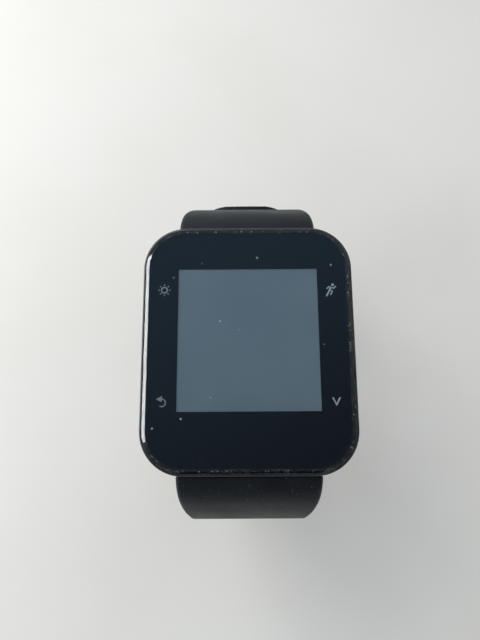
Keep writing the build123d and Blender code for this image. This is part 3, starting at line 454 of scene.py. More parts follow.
# name, darker and lighter colour, roughness and its spread, then what differs from the plain texture
grainyLooks = {
    "case": ("caseSatin", (0.010, 0.011, 0.014), (0.016, 0.018, 0.022), 0.17, 0.1),
    "cover": ("coverMatt", (0.012, 0.012, 0.014), (0.02, 0.02, 0.022), 0.5, 0.15, {"bump": 4e-6}),
    "button": ("buttonSatin", (0.012, 0.013, 0.016), (0.018, 0.02, 0.024), 0.32, 0.1),
    "blackSteel": ("blackSteel", (0.02, 0.02, 0.022), (0.035, 0.035, 0.038), 0.3, 0.12,
                   {"bump": 1e-6, "Metallic": 0.6}),
    "steel": ("plainSteel", (0.45, 0.45, 0.46), (0.55, 0.55, 0.56), 0.25, 0.15,
              {"bump": 1e-6, "scale": 900.0, "fine": 12000.0, "Metallic": 1.0}),
    "gold": ("gold", (0.75, 0.52, 0.2), (0.85, 0.62, 0.28), 0.22, 0.12, {"bump": 1e-6, "Metallic": 1.0}),
    "seal": ("sealRubber", (0.02, 0.02, 0.02), (0.035, 0.03, 0.03), 0.5, 0.15),
    "board": ("circuitBoard", (0.01, 0.09, 0.04), (0.015, 0.12, 0.055), 0.35, 0.1),
    "flex": ("flexFilm", (0.42, 0.19, 0.03), (0.5, 0.25, 0.05), 0.3, 0.15),
    "chip": ("chipEpoxy", (0.015, 0.015, 0.016), (0.03, 0.03, 0.03), 0.45, 0.15),
    "tin": ("tinPlate", (0.55, 0.55, 0.54), (0.66, 0.66, 0.64), 0.35, 0.15, {"Metallic": 1.0}),
    "ceramic": ("firedCeramic", (0.6, 0.52, 0.36), (0.7, 0.62, 0.46), 0.55, 0.15),
    "frame": ("chassisPlastic", (0.05, 0.05, 0.055), (0.07, 0.07, 0.075), 0.5, 0.15),
    "foil": ("batteryFoil", (0.5, 0.51, 0.53), (0.6, 0.61, 0.63), 0.35, 0.15,
             {"bump": 6e-6, "scale": 500.0, "fine": 1500.0, "Metallic": 0.8}),
    "tape": ("foamTape", (0.012, 0.012, 0.012), (0.025, 0.025, 0.025), 0.85, 0.1, {"bump": 8e-6}),
    "guide": ("lightGuide", (0.7, 0.72, 0.74), (0.8, 0.82, 0.83), 0.3, 0.1),
    "led": ("greenLed", (0.35, 0.6, 0.2), (0.45, 0.7, 0.28), 0.25, 0.1),
    "ink": ("blackInk", (0.0024, 0.0032, 0.0044), (0.003, 0.004, 0.0055), 0.6, 0.1,
            {"Specular_IOR_Level": 0.0}),
    "symbol": ("symbolInk", (0.30, 0.365, 0.40), (0.36, 0.43, 0.47), 0.6, 0.1),
    "dimSymbol": ("dimSymbolInk", (0.19, 0.21, 0.22), (0.24, 0.26, 0.27), 0.6, 0.1),
}


def makeFinishes():
    made = {"silicone": siliconeFinish()}
    for look, (name, dark, light, roughness, grit, *other) in grainyLooks.items():
        made[look] = grainyFinish(name, dark, light, roughness, grit, **(other[0] if other else {}))
    made.update(display=displayFinish(), lens=lensFinish(), window=windowFinish())
    return made


displayLook = {
    "dark": (0.121, 0.180, 0.228), "light": (0.137, 0.203, 0.252), "line": (0.03, 0.045, 0.06),
    "pitch": 0.115 * mm, "lineStart": 0.86, "lineWeight": 0.16, "patch": 45.0, "gloss": 0.2,
    "roughness": (0.5, 0.62),
}


def displayFinish():
    # switched-off reflective display: grey-blue, with its cell grid
    look = displayLook
    made, tree, shader, where = material("displayFilm", Specular_IOR_Level=look["gloss"])
    axes = tree.node("SeparateXYZ", {0: where}).outputs
    bars = []
    for axis in (axes[0], axes[1]):
        cell = tree.math("FRACT", tree.math("DIVIDE", axis, look["pitch"]))
        bars.append(tree.math("GREATER_THAN", cell, look["lineStart"]))
    grid = tree.math("MULTIPLY", tree.math("MAXIMUM", bars[0], bars[1]), look["lineWeight"])
    grain = tree.group("grain", {"Vector": where, "Tone Scale": look["patch"]})
    film = tree.mix(tree.ramp(grain["Tone"], 0.3, 0.7), rgb(*look["dark"]), rgb(*look["light"]))
    drive(tree, shader, Base_Color=tree.mix(grid, film, rgb(*look["line"])),
          Roughness=tree.ramp(grain["Tone"], 0.3, 0.7, *look["roughness"]))
    return made


lensLook = {
    "dust": {"Scale": 640.0, "Share": 0.08, "Size": 0.15}, "scratches": {"Scale": 160.0, "Share": 0.02},
    # lines that follow the lens's edge: how far in they lie, their corner, and how broken they are; inner and
    # outer are painted highlights where the bevel's edges catch the light, nicks are chips in the glass
    "inner": (0.62 * mm, {"Radius": 6.1 * mm, "Width": 0.05 * mm, "Break Scale": 420.0, "Kept Share": 0.5}),
    "nicks": (0.5 * mm, {"Radius": 6.2 * mm, "Width": 0.16 * mm, "Break Scale": 2300.0, "Kept Share": 0.35}),
    "outer": (0.0, {"Radius": 6.7 * mm, "Width": 0.05 * mm, "Break Scale": 500.0, "Kept Share": 0.5}),
    # dust and nicks are real, the inner and outer line weight is painted highlight
    "dustWeight": 0.85, "paintedHighlightWeight": 0.05, "nickWeight": 0.4, "nickRoughness": 0.5,
    "scratchRoughness": 0.25, "bump": 2e-6, "dustNickAndHighlightWhite": (0.5, 0.52, 0.54), "shadow": (0.96, 0.97, 0.97),
    "bend": 1.5,
}


def lensFinish():
    # clear glass that lets shadow rays through, with dust, hairlines, chipped nicks on the bevel and painted
    # highlight lines along the bevel's inner and outer edge
    look = lensLook
    made, tree, shader, where = material("lensGlass", Transmission_Weight=1.0, IOR=look["bend"])
    centred = tree.node("Mapping", {"Vector": where, "Location": (0, -caseMid, 0)}).outputs[0]
    halfX, halfY = (lensHigh.x - lensLow.x) / 2, (lensHigh.y - lensLow.y) / 2
    dust = tree.group("specks", {"Vector": where, **look["dust"]})["Mask"]
    lines = tree.group("hairlines", {"Vector": where, **look["scratches"]})["Mask"]
    band = {}
    for name in ("inner", "nicks", "outer"):
        inset, values = look[name]
        band[name] = tree.group("edgeBand", {"Vector": centred, "Half": (halfX - inset, halfY - inset, 0),
                                             **values})["Mask"]
    # painted highlight: thin broken light lines along the bevel's inner and outer edge, in place of the light
    # those edges catch
    paintedHighlightLines = tree.math("MAXIMUM", band["inner"], band["outer"])
    rough = tree.math("ADD", tree.math("MULTIPLY", band["nicks"], look["nickRoughness"]),
                      tree.math("MULTIPLY", lines, look["scratchRoughness"]), clamp=True)
    drive(tree, shader, Roughness=rough,
          Normal=bumped(tree, tree.math("ADD", band["nicks"], lines), look["bump"]))
    white = tree.node("BsdfDiffuse", {"Color": rgb(*look["dustNickAndHighlightWhite"])})
    # the nicks are chips in the glass, and the painted highlight lines join them in the same white diffuse
    # mix
    edges = tree.math("MAXIMUM", tree.math("MULTIPLY", paintedHighlightLines, look["paintedHighlightWeight"]),
                      tree.math("MULTIPLY", band["nicks"], look["nickWeight"]))
    marks = tree.math("MAXIMUM", tree.math("MULTIPLY", dust, look["dustWeight"]), edges)
    clear = tree.node("BsdfTransparent", {"Color": rgb(*look["shadow"])})
    glass = tree.node("MixShader", {0: tree.node("LightPath").outputs["Is Shadow Ray"],
                                    1: shader.outputs[0], 2: clear.outputs[0]})
    surface = tree.node("MixShader", {0: marks, 1: glass.outputs[0], 2: white.outputs[0]})
    tree.tree.links.new(surface.outputs[0], made.node_tree.nodes["Material Output"].inputs["Surface"])
    return made


windowLook = {
    "dark": (0.004, 0.004, 0.006), "light": (0.007, 0.007, 0.01), "patch": 200.0,
    "scratches": {"Scale": 300.0, "Share": 0.08}, "roughness": (0.06, 0.35),
}


def windowFinish():
    look = windowLook
    made, tree, shader, where = material("sensorGlass")
    grain = tree.group("grain", {"Vector": where, "Tone Scale": look["patch"]})
    lines = tree.group("hairlines", {"Vector": where, **look["scratches"]})
    drive(tree, shader,
          Base_Color=tree.mix(tree.ramp(grain["Tone"], 0.3, 0.7), rgb(*look["dark"]), rgb(*look["light"])),
          Roughness=tree.ramp(lines["Mask"], 0.0, 1.0, *look["roughness"]))
    return made


finish = makeFinishes()
carried = {
    "case": ["mid_case"], "cover": ["rear_cover"], "window": ["sensor_window"], "gold": ["buzzer"],
    "ink": ["lens_mask"], "tape": ["lens_tape", "battery_foam"],
    "guide": ["light_guide"], "flex": ["display_flex", "key_flex_left", "key_flex_right"],
    "frame": ["chassis", "light_baffle"], "board": ["main_board", "sensor_board"],
    "chip": ["board_chips", "display_socket", "photodiode"], "ceramic": ["gps_antenna", "bluetooth_antenna"],
    "tin": ["shield_can", "battery_tab", "key_switches_left", "key_switches_right"],
    "foil": ["battery"],
    "led": ["green_leds"], "seal": ["case_gasket"],
    "steel": ["vibration_motor", "vibration_weight", "spring_bar_tube", "spring_bar_tips",
              "spring_bar_spring", "upper_strap_tube", "lower_strap_tube"],
    "blackSteel": ["upper_strap_screws", "lower_strap_screws"],
}
for key in ("light", "back", "run", "down"):
    carried.setdefault("button", []).append(key + "_button")
    carried["seal"].append(key + "_button_seal")
    carried["steel"].append(key + "_button_clip")
for look, names in carried.items():
    for name in names:
        nodes[name].data.materials.clear()
        nodes[name].data.materials.append(finish[look])
print("finishes ready:", len(finish))


def place(obj, look, slotName, body="root", stands=()):
    obj.data.materials.clear()
    obj.data.materials.append(finish[look])
    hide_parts(*stands)
    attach(obj, body)


# lens and the printed symbols under it

glassSize = {
    "bevel": 0.65, "bevelDepth": 0.45, "corner": 6.7, "lift": 0.02, "edge": 0.12, "edgeRise": 0.5,
    "edgeRun": 0.4, "foot": 0.06, "rim": 0.6, "cornerSteps": 14, "edgeSteps": 3,
}


def makeLens():
    # clear bevelled slab, its two top edges slightly rounded
    size = glassSize
    halfX, halfY = (lensHigh.x - lensLow.x) / 2 / mm, (lensHigh.y - lensLow.y) / 2 / mm
    low, high = lensLow.z / mm + size["lift"], faceZ / mm
    slope = math.atan2(size["bevelDepth"], size["bevel"])
    edge, steps, foot = size["edge"], size["edgeSteps"], size["foot"]
    # inset and height of each ring, from the bottom outside to the middle of the top
    profile = [(foot, low), (0.0, low + foot)]
    for part in range(steps + 1):
        turn = (math.pi / 2 - slope) * part / steps
        drop = size["bevelDepth"] + edge * (size["edgeRise"] - math.sin(turn))
        profile.append((edge * (1 - math.cos(turn)), high - drop))
    for part in range(steps + 1):
        turn = slope * (1 - part / steps)
        inset = size["bevel"] - edge * (math.sin(turn) - size["edgeRun"])
        profile.append((inset, high - edge * (1 - math.cos(turn))))
    profile.append((size["bevel"] + size["rim"], high))
    rings = []
    for inset, z in profile:
        outline = roundedOutline(halfX - inset, halfY - inset, size["corner"] - inset, size["cornerSteps"])
        rings.append([(x * mm, caseMid + y * mm, z * mm) for x, y in outline])
    lens = loft("glassLens", rings)
    place(crisp(lens, 50), "lens", "lens_glass", "root", ["lens"])


# places are millimetres from the case's middle, then each shape's points are from its own place
symbolSize = {
    "low": 0.002, "high": 0.016,
    "sun": (-14.1, 9.6), "sunRing": 0.49, "sunLine": 0.13, "sunRay": (0.77, 1.03), "sunRayLine": 0.11,
    "runner": (14.05, 9.4), "head": (0.29, 0.95), "headRadius": 0.23,
    "limbs": [([(0.0, 0.5), (-0.1, 0.3), (-0.3, -0.12)], 0.32),
              ([(0.0, 0.48), (-0.29, 0.66), (-0.72, 0.26)], 0.22),
              ([(-0.04, 0.5), (0.46, 0.37), (0.86, 0.73)], 0.22),
              ([(-0.22, -0.02), (0.24, -0.14), (-0.1, -0.8)], 0.22),
              ([(-0.3, -0.05), (-0.36, -0.2), (-0.8, -1.02)], 0.27)],
    "back": (-14.1, -9.15), "hookStart": (-0.2, 0.6), "hookRadius": 0.6, "hookTurn": (90, -125),
    "hookLine": 0.17, "arrow": [(-0.97, 0.6), (0.05, 1.1), (-0.02, 0.14)],
    "down": (14.2, -9.1), "arm": [(0.74, 0.66), (0.44, 0.66), (0.0, -0.3), (0.0, -0.7)],
}


def flatShape(name, middle, outlines, look="symbol"):
    # thin printed shapes just under the glass, one prism for each outline
    low, high = [lensLow.z + symbolSize[level] * mm for level in ("low", "high")]
    verts, faces = [], []
    for outline in outlines:
        area = sum(a[0] * b[1] - b[0] * a[1] for a, b in zip(outline, outline[1:] + outline[:1]))
        outline = outline if area > 0 else outline[::-1]
        start, count = len(verts), len(outline)
        for z in (low, high):
            verts += [((middle[0] + x) * mm, caseMid + (middle[1] + y) * mm, z) for x, y in outline]
        faces.append(tuple(range(start + count - 1, start - 1, -1)))
        faces.append(tuple(range(start + count, start + 2 * count)))
        faces += [(start + i, start + (i + 1) % count, start + count + (i + 1) % count, start + count + i)
                  for i in range(count)]
    obj = meshFrom(name, verts, faces)
    obj.data.shade_flat()
    place(obj, look, "mask_ink")


def strokeOutline(points, width):
    # outline of a line of even width through the points
    left, right = [], []
    for i, point in enumerate(points):
        before = Vector(points[max(i - 1, 0)])
        after = Vector(points[min(i + 1, len(points) - 1)])
        along = (after - before).normalized()
        side = Vector((-along.y, along.x)) * width / 2
        left.append(tuple(Vector(point) + side))
        right.append(tuple(Vector(point) - side))
    return left + right[::-1]


def arcPoints(radius, start, end, steps=12, middle=(0, 0)):
    angles = [math.radians(start + (end - start) * i / steps) for i in range(steps + 1)]
    return [(middle[0] + radius * math.cos(a), middle[1] + radius * math.sin(a)) for a in angles]


def makeSymbols():
    size = symbolSize

    # sun: a ring of eight short arcs and eight rays
    parts = [strokeOutline(arcPoints(size["sunRing"], 45 * k, 45 * k + 45.5, 4), size["sunLine"])
             for k in range(8)]
    for k in range(8):
        ray = [arcPoints(radius, 45 * k, 45 * k, 1)[0] for radius in size["sunRay"]]
        parts.append(strokeOutline(ray, size["sunRayLine"]))
    flatShape("sunSymbol", size["sun"], parts)

    # runner: head, body, two arms and two legs
    parts = [arcPoints(size["headRadius"], 0, 345, 12, size["head"])]
    parts += [strokeOutline(points, width) for points, width in size["limbs"]]
    flatShape("runnerSymbol", size["runner"], parts)

    # back arrow: a hook that turns round to the left, with its head
    hook = [size["hookStart"]] + arcPoints(size["hookRadius"], *size["hookTurn"], 18)
    flatShape("backSymbol", size["back"], [strokeOutline(hook, size["hookLine"]), size["arrow"]], "dimSymbol")

    # down chevron: one arm and its mirror image
    flatShape("downSymbol", size["down"], [[(side * x, y) for x, y in size["arm"]] for side in (-1, 1)])


panelSize = {"corner": 0.4 * mm, "gap": 0.01 * mm}


def makeDisplay():
    # the panel's own film reaches up to the back of the black print
    outline = roundedOutline((displayHigh.x - displayLow.x) / 2, (displayHigh.y - displayLow.y) / 2,
                             panelSize["corner"], 4)
    middle = (displayHigh.y + displayLow.y) / 2
    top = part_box("lens_mask")[0].z - panelSize["gap"]
    panel = prism("displayPanel", [(x, y + middle) for x, y in outline], "XY", displayLow.z, top)
    place(crisp(panel), "display", "display", "root", ["display_panel"])


makeLens()
makeSymbols()
makeDisplay()
print("lens, symbols and display ready")


# strap halves

strapSize = {
    "radius": 31.5, "thickness": 2.2, "shoulderRadius": 12.0, "shoulderAngle": 35.0, "shoulderDrop": 2.2,
    "thinAngle": 10.0, "endDepth": 10.6, "endGap": 0.15, "tailAngle": 6.5, "tipRound": 6.0, "tailLift": 1.2,
    "wide": 12.0, "neck": 11.0, "narrow": 9.0, "neckStart": 1.2, "neckReach": 8.8, "flare": 3.0,
    "neckDepth": 17.0, "taperDepth": 27.0, "outerEdge": 0.9, "innerEdge": 0.35, "endEdge": 0.4,
    "endSlack": 0.999, "endSteps": 4, "leastEdge": 0.05, "upperCount": 64, "rootSteps": 40,
    "pinOut": 1.75, "pinDepth": 7.2, "lugReach": 1.9, "lugHalf": 7.15, "pocketRun": 4.0, "pocketDrop": 6.0,
    "boreRadius": 0.95, "headRadius": 1.3, "headStart": 10.1, "cutHalf": 13.0, "eyelet": 1.5,
    "eyeletEdge": 0.3, "barGap": 0.05, "slotHalf": 1.5, "slotStart": 1.8, "slotLength": 8.0,
    "slotCorner": 0.5, "slotDepth": 3.0,
}
strapHigh = caseMid / mm, loopCentreZ / mm
strapLow = 0.0, loopCentreZ / mm
faceMm = faceZ / mm
caseEnd = caseHalfLength / mm


def polar(centre, radius, angle):
    return Vector((centre[0] + radius * math.cos(math.radians(angle)),
                   centre[1] + radius * math.sin(math.radians(angle))))


def arcRow(centre, radius, start, end, step=2.0):
    count = max(2, math.ceil(abs(end - start) / step))
    return [polar(centre, radius, start + (end - start) * i / count) for i in range(count + 1)]


def spread(points, count):
    # the same curve as a given number of evenly spaced points
    lengths = [0.0]
    for a, b in zip(points, points[1:]):
        lengths.append(lengths[-1] + (b - a).length)
    out, at = [], 0
    for i in range(count):
        goal = lengths[-1] * i / (count - 1)
        while at < len(points) - 2 and lengths[at + 1] < goal:
            at += 1
        share = (goal - lengths[at]) / (lengths[at + 1] - lengths[at])
        out.append(points[at].lerp(points[at + 1], min(max(share, 0.0), 1.0)))
    return out


def tangentArc(start, along, end, count):
    across = Vector((-along.y, along.x))
    gap = end - start
    radius = gap.length_squared / (2 * across.dot(gap))
    centre = start + across * radius
    first = math.atan2(start.y - centre.y, start.x - centre.x)
    last = math.atan2(end.y - centre.y, end.x - centre.x)
    turn = (last - first + math.pi) % (2 * math.pi) - math.pi
    angles = [first + turn * i / count for i in range(count + 1)]
    return [centre + abs(radius) * Vector((math.cos(angle), math.sin(angle))) for angle in angles]


def strapHalf(point, end):
    # half width where the strap passes a point (y, z), both seen from above and seen from the end
    size = strapSize
    out = end * (point.x - strapHigh[0]) - caseEnd
    reach = size["neckReach"] - size["neckStart"]
    drop = size["wide"] - size["neck"]
    radius = (reach ** 2 + drop ** 2) / (2 * drop)
    past = min(max(out - size["neckStart"], 0.0), reach)
    plan = size["wide"] - radius + math.sqrt(radius ** 2 - past ** 2)
    depth = faceMm - point.y
    top, bottom = size["neckDepth"], size["taperDepth"]
    share = min(max((depth - top) / (bottom - top), 0.0), 1.0)
    share = share * share * (3 - 2 * share)
    front = size["neck"] + (size["narrow"] - size["neck"]) * share
    if depth < top:
        front += size["flare"] * (min(top - depth, size["flare"]) / size["flare"]) ** 2
    return min(plan, front)


def strapSection(outer, inner, halfOuter, halfInner, inset=0.0, steps=5):
    # ring of points round one section, its four edges rounded
    size = strapSize
    away = (outer - inner).normalized()
    depth = (outer - inner).length
    points = []
    for sideX, up, start in ((1, 1, 0), (-1, 1, 90), (-1, -1, 180), (1, -1, 270)):
        half, level, edge = (halfOuter, depth, "outerEdge") if up > 0 else (halfInner, 0.0, "innerEdge")
        edge = max(size[edge] - inset, size["leastEdge"])
        for step in range(steps + 1):
            angle = math.radians(start + 90 * step / steps)
            x = sideX * (half - inset - edge) + edge * math.cos(angle)
            h = level - up * (inset + edge) + edge * math.sin(angle)
            points.append((x * mm, (inner.x + away.x * h) * mm, (inner.y + away.y * h) * mm))
    return points


def strapCurves(end):
    size = strapSize
    level, turn = (0, 1) if end > 0 else (180, -1)
    shoulder = level + turn * size["shoulderAngle"]
    thin = level + turn * size["thinAngle"]
    centre = polar(strapHigh, size["radius"] - size["shoulderRadius"], shoulder)
    edge = strapHigh[0] + end * (caseEnd + size["endGap"])
    topZ = faceMm - size["shoulderDrop"]
    start = math.degrees(math.atan2(topZ - centre.y, edge - centre.x))
    outer = arcRow(centre, size["shoulderRadius"], start, shoulder, 1.5)
    outer += arcRow(strapHigh, size["radius"], shoulder, thin)[1:]
    along = Vector((-math.sin(math.radians(thin)), math.cos(math.radians(thin)))) * turn
    root = tangentArc(polar(strapHigh, size["radius"] - size["thickness"], thin), along,
                      Vector((edge, faceMm - size["endDepth"])), size["rootSteps"])
    return spread(outer, size["upperCount"]), spread(root[::-1], size["upperCount"]), level, thin


def strapMesh(name, end, lowerRadius, tail):
    size = strapSize
    outerRow, innerRow, level, thin = strapCurves(end)
    thick = size["thickness"]
    lastAngle = 360 if tail else -90
    for row, inward in ((outerRow, 0.0), (innerRow, thick)):
        row += arcRow(strapHigh, size["radius"] - inward, thin, level)[1:]
        row += arcRow(strapLow, lowerRadius - inward, level, lastAngle, 1.5)[1:]
        if tail:
            row += arcRow(strapHigh, lowerRadius + size["tailLift"] - inward, 0, size["tailAngle"], 0.25)[1:]
    halves = [(strapHalf(o, end), strapHalf(i, end)) for o, i in zip(outerRow, innerRow)]
    if tail:
        # past the lowest point the strap runs up the far side at its own width, to a rounded tip
        tipRound = size["tipRound"]
        tipStart = outerRow[-1].y - tipRound
        for index, point in enumerate(outerRow):
            if point.x > 0:
                rise = max(point.y - tipStart, 0.0)
                half = size["narrow"] - tipRound + math.sqrt(max(tipRound ** 2 - rise ** 2, 0.0))
                halves[index] = (half, half)
    # both ends are rounded over by a few rings that draw in
    ends = []
    edge = size["endEdge"]
    for index, nearby in ((0, 1), (len(outerRow) - 1, -1)):
        along = (outerRow[index] - outerRow[index + nearby]).normalized()
        rounded = []
        for step in range(size["endSteps"] + 1):
            turn = math.pi / 2 * step / size["endSteps"]
            back = along * -edge * (1 - math.sin(turn)) * size["endSlack"]
            rounded.append(strapSection(outerRow[index] + back, innerRow[index] + back, *halves[index],
                                        inset=edge * (1 - math.cos(turn))))
        ends.append(rounded)
    middle = []
    for outer, inner, half in list(zip(outerRow, innerRow, halves))[1:-1]:
        if min((outer - outerRow[0]).length, (outer - outerRow[-1]).length) > edge * 1.05:
            middle.append(strapSection(outer, inner, *half))
    return loft(name, ends[0][::-1] + middle + ends[1])


def pinHoles(strap, end):
    # pocket for the case's lug, and the stepped bore for the pin with its screw heads
    size = strapSize
    y = strapHigh[0] + end * (caseEnd + size["pinOut"])
    z = faceMm - size["pinDepth"]
    reach, run, drop = size["lugReach"], size["pocketRun"], size["pocketDrop"]
    outline = [(y - end * run, z - drop), (y - end * run, z + reach)]
    for angle in range(0, 91, 10):
        turn = math.radians(angle)
        outline.append((y + end * reach * math.sin(turn), z + reach * math.cos(turn)))
    outline.append((y + end * reach, z - drop))
    half = size["lugHalf"] * mm
    combined(strap, prism("pocket", [(a * mm, b * mm) for a, b in outline], "YZ", -half, half))
    past, start = size["cutHalf"], size["headStart"]
    combined(strap, rod("bore", y * mm, z * mm, size["boreRadius"] * mm, -past * mm, past * mm))
    for low, high in ((-past, -start), (start, past)):
        combined(strap, rod("headBore", y * mm, z * mm, size["headRadius"] * mm, low * mm, high * mm))


def makeShortStrap():
    size = strapSize
    strap = strapMesh("upperStrap", 1, lowerInner / mm, False)
    narrow, past = size["narrow"] * mm, size["cutHalf"] * mm
    eyelet = rod("eyelet", 0, barZ, size["eyelet"] * mm, -narrow, narrow)
    bevelled(eyelet, size["eyeletEdge"] * mm)
    combined(strap, eyelet, "UNION")
    combined(strap, rod("barBore", 0, barZ, barRadius + size["barGap"] * mm, -past, past))
    halfLength, depth = size["slotLength"] / 2, size["slotDepth"] * mm
    slot = roundedOutline(size["slotHalf"] * mm, halfLength * mm, size["slotCorner"] * mm, 4)
    slot = [(x, y + (size["slotStart"] - halfLength) * mm) for x, y in slot]
    combined(strap, prism("slot", slot, "XY", barZ - depth, barZ + depth))
    pinHoles(strap, 1)
    place(crisp(strap, 38, False), "silicone", "strap_silicone", "root", ["short_strap"])


holeSize = {
    "length": 3.8, "width": 2.4, "corner": 0.6, "flare": 0.3, "pitch": 6.5, "offset": 4.75, "before": 4,
    "after": 7, "reach": 1.6, "flareStart": (0.75, 0.95, 1.12), "flareFirst": 0.06,
}


class Repeater(Tree):
    # a geometry tree that puts copies of the given mesh on points and ends in one plain mesh
    def __init__(self, name, inputs):
        super().__init__(bpy.data.node_groups.new(name, "GeometryNodeTree"))
        face = self.tree.interface
        kinds = {int: "NodeSocketInt", float: "NodeSocketFloat", tuple: "NodeSocketVector"}
        face.new_socket("Geometry", in_out="INPUT", socket_type="NodeSocketGeometry")
        for label, value in inputs.items():
            face.new_socket(label, in_out="INPUT", socket_type=kinds[type(value)]).default_value = value
        face.new_socket("Material", in_out="INPUT", socket_type="NodeSocketMaterial")
        face.new_socket("Geometry", in_out="OUTPUT", socket_type="NodeSocketGeometry")
        self.given = self.part("NodeGroupInput").outputs

    def part(self, kind, inputs=None):
        made = self.tree.nodes.new(kind)
        for key, value in (inputs or {}).items():
            self.feed(value, made.inputs[key])
        return made

    def finished(self, moved, rotation):
        copies = self.part("GeometryNodeInstanceOnPoints", {
            "Points": moved.outputs[0], "Instance": self.given["Geometry"], "Rotation": rotation})
        real = self.part("GeometryNodeRealizeInstances", {0: copies.outputs[0]})
        coated = self.part("GeometryNodeSetMaterial", {"Geometry": real.outputs[0],
                                                       "Material": self.given["Material"]})
        self.part("NodeGroupOutput", {0: coated.outputs[0]})
        return self.tree


def arcTree():
    # even steps round an arc about the X axis
    work = Repeater("repeatOnArc", {"Count": 12, "Start": 0.0, "Step": 0.2, "Radius": 0.03, "Centre Z": 0.03})
    given = work.given
    points = work.part("GeometryNodeMeshLine", {"Count": given["Count"]})
    index = work.part("GeometryNodeInputIndex").outputs[0]
    turn = work.math("ADD", given["Start"], work.math("MULTIPLY", index, given["Step"]))
    across = work.math("MULTIPLY", work.math("COSINE", turn), given["Radius"])
    up = work.math("MULTIPLY", work.math("SINE", turn), given["Radius"])
    where = work.node("CombineXYZ", {1: across, 2: work.math("ADD", up, given["Centre Z"])})
    moved = work.part("GeometryNodeSetPosition", {"Geometry": points.outputs["Mesh"],
                                                  "Position": where.outputs[0]})
    tilt = work.node("CombineXYZ", {0: work.math("SUBTRACT", turn, math.pi / 2)})
    return work.finished(moved, tilt.outputs[0])


def gridTree():
    # a grid of copies, each turned by chance up to the given angle
    work = Repeater("repeatOnGrid", {"Count X": 2, "Count Y": 2, "Size X": 0.02, "Size Y": 0.02,
                                     "Turn": 0.1, "Seed": 1, "Middle": (0.0, 0.0, 0.0)})
    given = work.given
    grid = work.part("GeometryNodeMeshGrid", {"Vertices X": given["Count X"], "Vertices Y": given["Count Y"],
                                              "Size X": given["Size X"], "Size Y": given["Size Y"]})
    moved = work.part("GeometryNodeSetPosition", {"Geometry": grid.outputs["Mesh"],
                                                  "Offset": given["Middle"]})
    spin = work.part("FunctionNodeRandomValue", {"Seed": given["Seed"], 3: given["Turn"]})
    return work.finished(moved, work.node("CombineXYZ", {2: spin.outputs[1]}).outputs[0])


def repeated(obj, tree, values):
    step = obj.modifiers.new("repeat", "NODES")
    step.node_group = tree
    for item in tree.interface.items_tree:
        if item.in_out == "INPUT" and item.name in values:
            step[item.identifier] = values[item.name]
    return applied(obj)


holeTree, screwTree = arcTree(), gridTree()


def makeHoleCutters():
    # the cutters widen towards the outside, for the holes' rounded rims
    size = holeSize
    first, second, full = size["flareStart"]
    rings = []
    for grow, level in ((0.0, -size["reach"]), (0.0, first), (size["flareFirst"], second),
                        (size["flare"], full), (size["flare"], size["reach"])):
        halfX, halfY = size["width"] / 2 + grow, size["length"] / 2 + grow
        outline = roundedOutline(halfX, halfY, size["corner"] + grow, 5)
        rings.append([(x * mm, y * mm, level * mm) for x, y in outline])
    middle = lowerOuter - strapSize["thickness"] / 2 * mm
    step = size["pitch"] * mm / middle
    used = -math.pi / 2 - math.asin(size["offset"] * mm / middle)
    return repeated(loft("holeCutter", rings), holeTree, {
        "Count": size["before"] + size["after"] + 1, "Start": used - size["before"] * step, "Step": step,
        "Radius": middle, "Centre Z": loopCentreZ, "Material": finish["silicone"]})


def makeLongStrap():
    strap = strapMesh("lowerStrap", -1, lowerOuter / mm, True)
    combined(strap, makeHoleCutters())
    pinHoles(strap, -1)
    place(crisp(strap, 38, False), "silicone", "strap_silicone", "root", ["long_strap"])


makeShortStrap()
makeLongStrap()
print("strap ready")


# keepers

keeperSize = {
    "wall": 1.2, "gap": 0.25, "width": 6.0, "edge": 0.42, "corner": 1.1, "angle": -38.0, "loopStart": 2.8,
    "cornerSteps": 8, "sidePieces": 10, "longSide": 1.0,
}


def keeperPath(halfX, halfR):
    # rounded rectangle round the strap as (x, radius, facing), its long sides split so that they can bend
    size = keeperSize
    corner, steps, pieces = size["corner"], size["cornerSteps"], size["sidePieces"]
    path = []
    for signX, signY, start in ((1, 1, 0), (-1, 1, 90), (-1, -1, 180), (1, -1, 270)):
        for step in range(steps + 1):
            angle = math.radians(start + 90 * step / steps)
            path.append((signX * (halfX - corner) + corner * math.cos(angle),
                         signY * (halfR - corner) + corner * math.sin(angle), angle))
    dense = []
    for here, there in zip(path, path[1:] + path[:1]):
        dense.append(here)
        if math.dist(here[:2], there[:2]) > size["longSide"]:
            for k in range(1, pieces):
                x, r = [a + (b - a) * k / pieces for a, b in zip(here[:2], there[:2])]
                dense.append((x, r, here[2]))
    return dense


def keeperMesh(name, middleAngle, flatFoot=False):
    # a band round the strap, with a rounded strip as its section
    size = keeperSize
    outside, centreZ, wall = lowerOuter / mm, loopCentreZ / mm, size["wall"]
    low = lowerInner / mm - strapSize["thickness"] - size["gap"]
    high = outside + size["gap"]
    strip = roundedOutline(wall / 2, size["width"] / 2, size["edge"], 4)
    rings = []
    path = keeperPath(strapSize["narrow"] + size["gap"] + wall / 2, (high - low) / 2 + wall / 2)
    for x, r, facing in path:
        ring = []
        for off, along in strip:
            radius = (high + low) / 2 + r + off * math.sin(facing)
            angle = math.radians(middleAngle) + along / outside
            if flatFoot and radius > high:
                share = (radius - high) / wall
                radius = high + share * (centreZ / abs(math.sin(angle)) - high)
            ring.append(((x + off * math.cos(facing)) * mm, radius * math.cos(angle) * mm,
                         (centreZ + radius * math.sin(angle)) * mm))
        rings.append(ring)
    return loft(name, rings, joined=True)


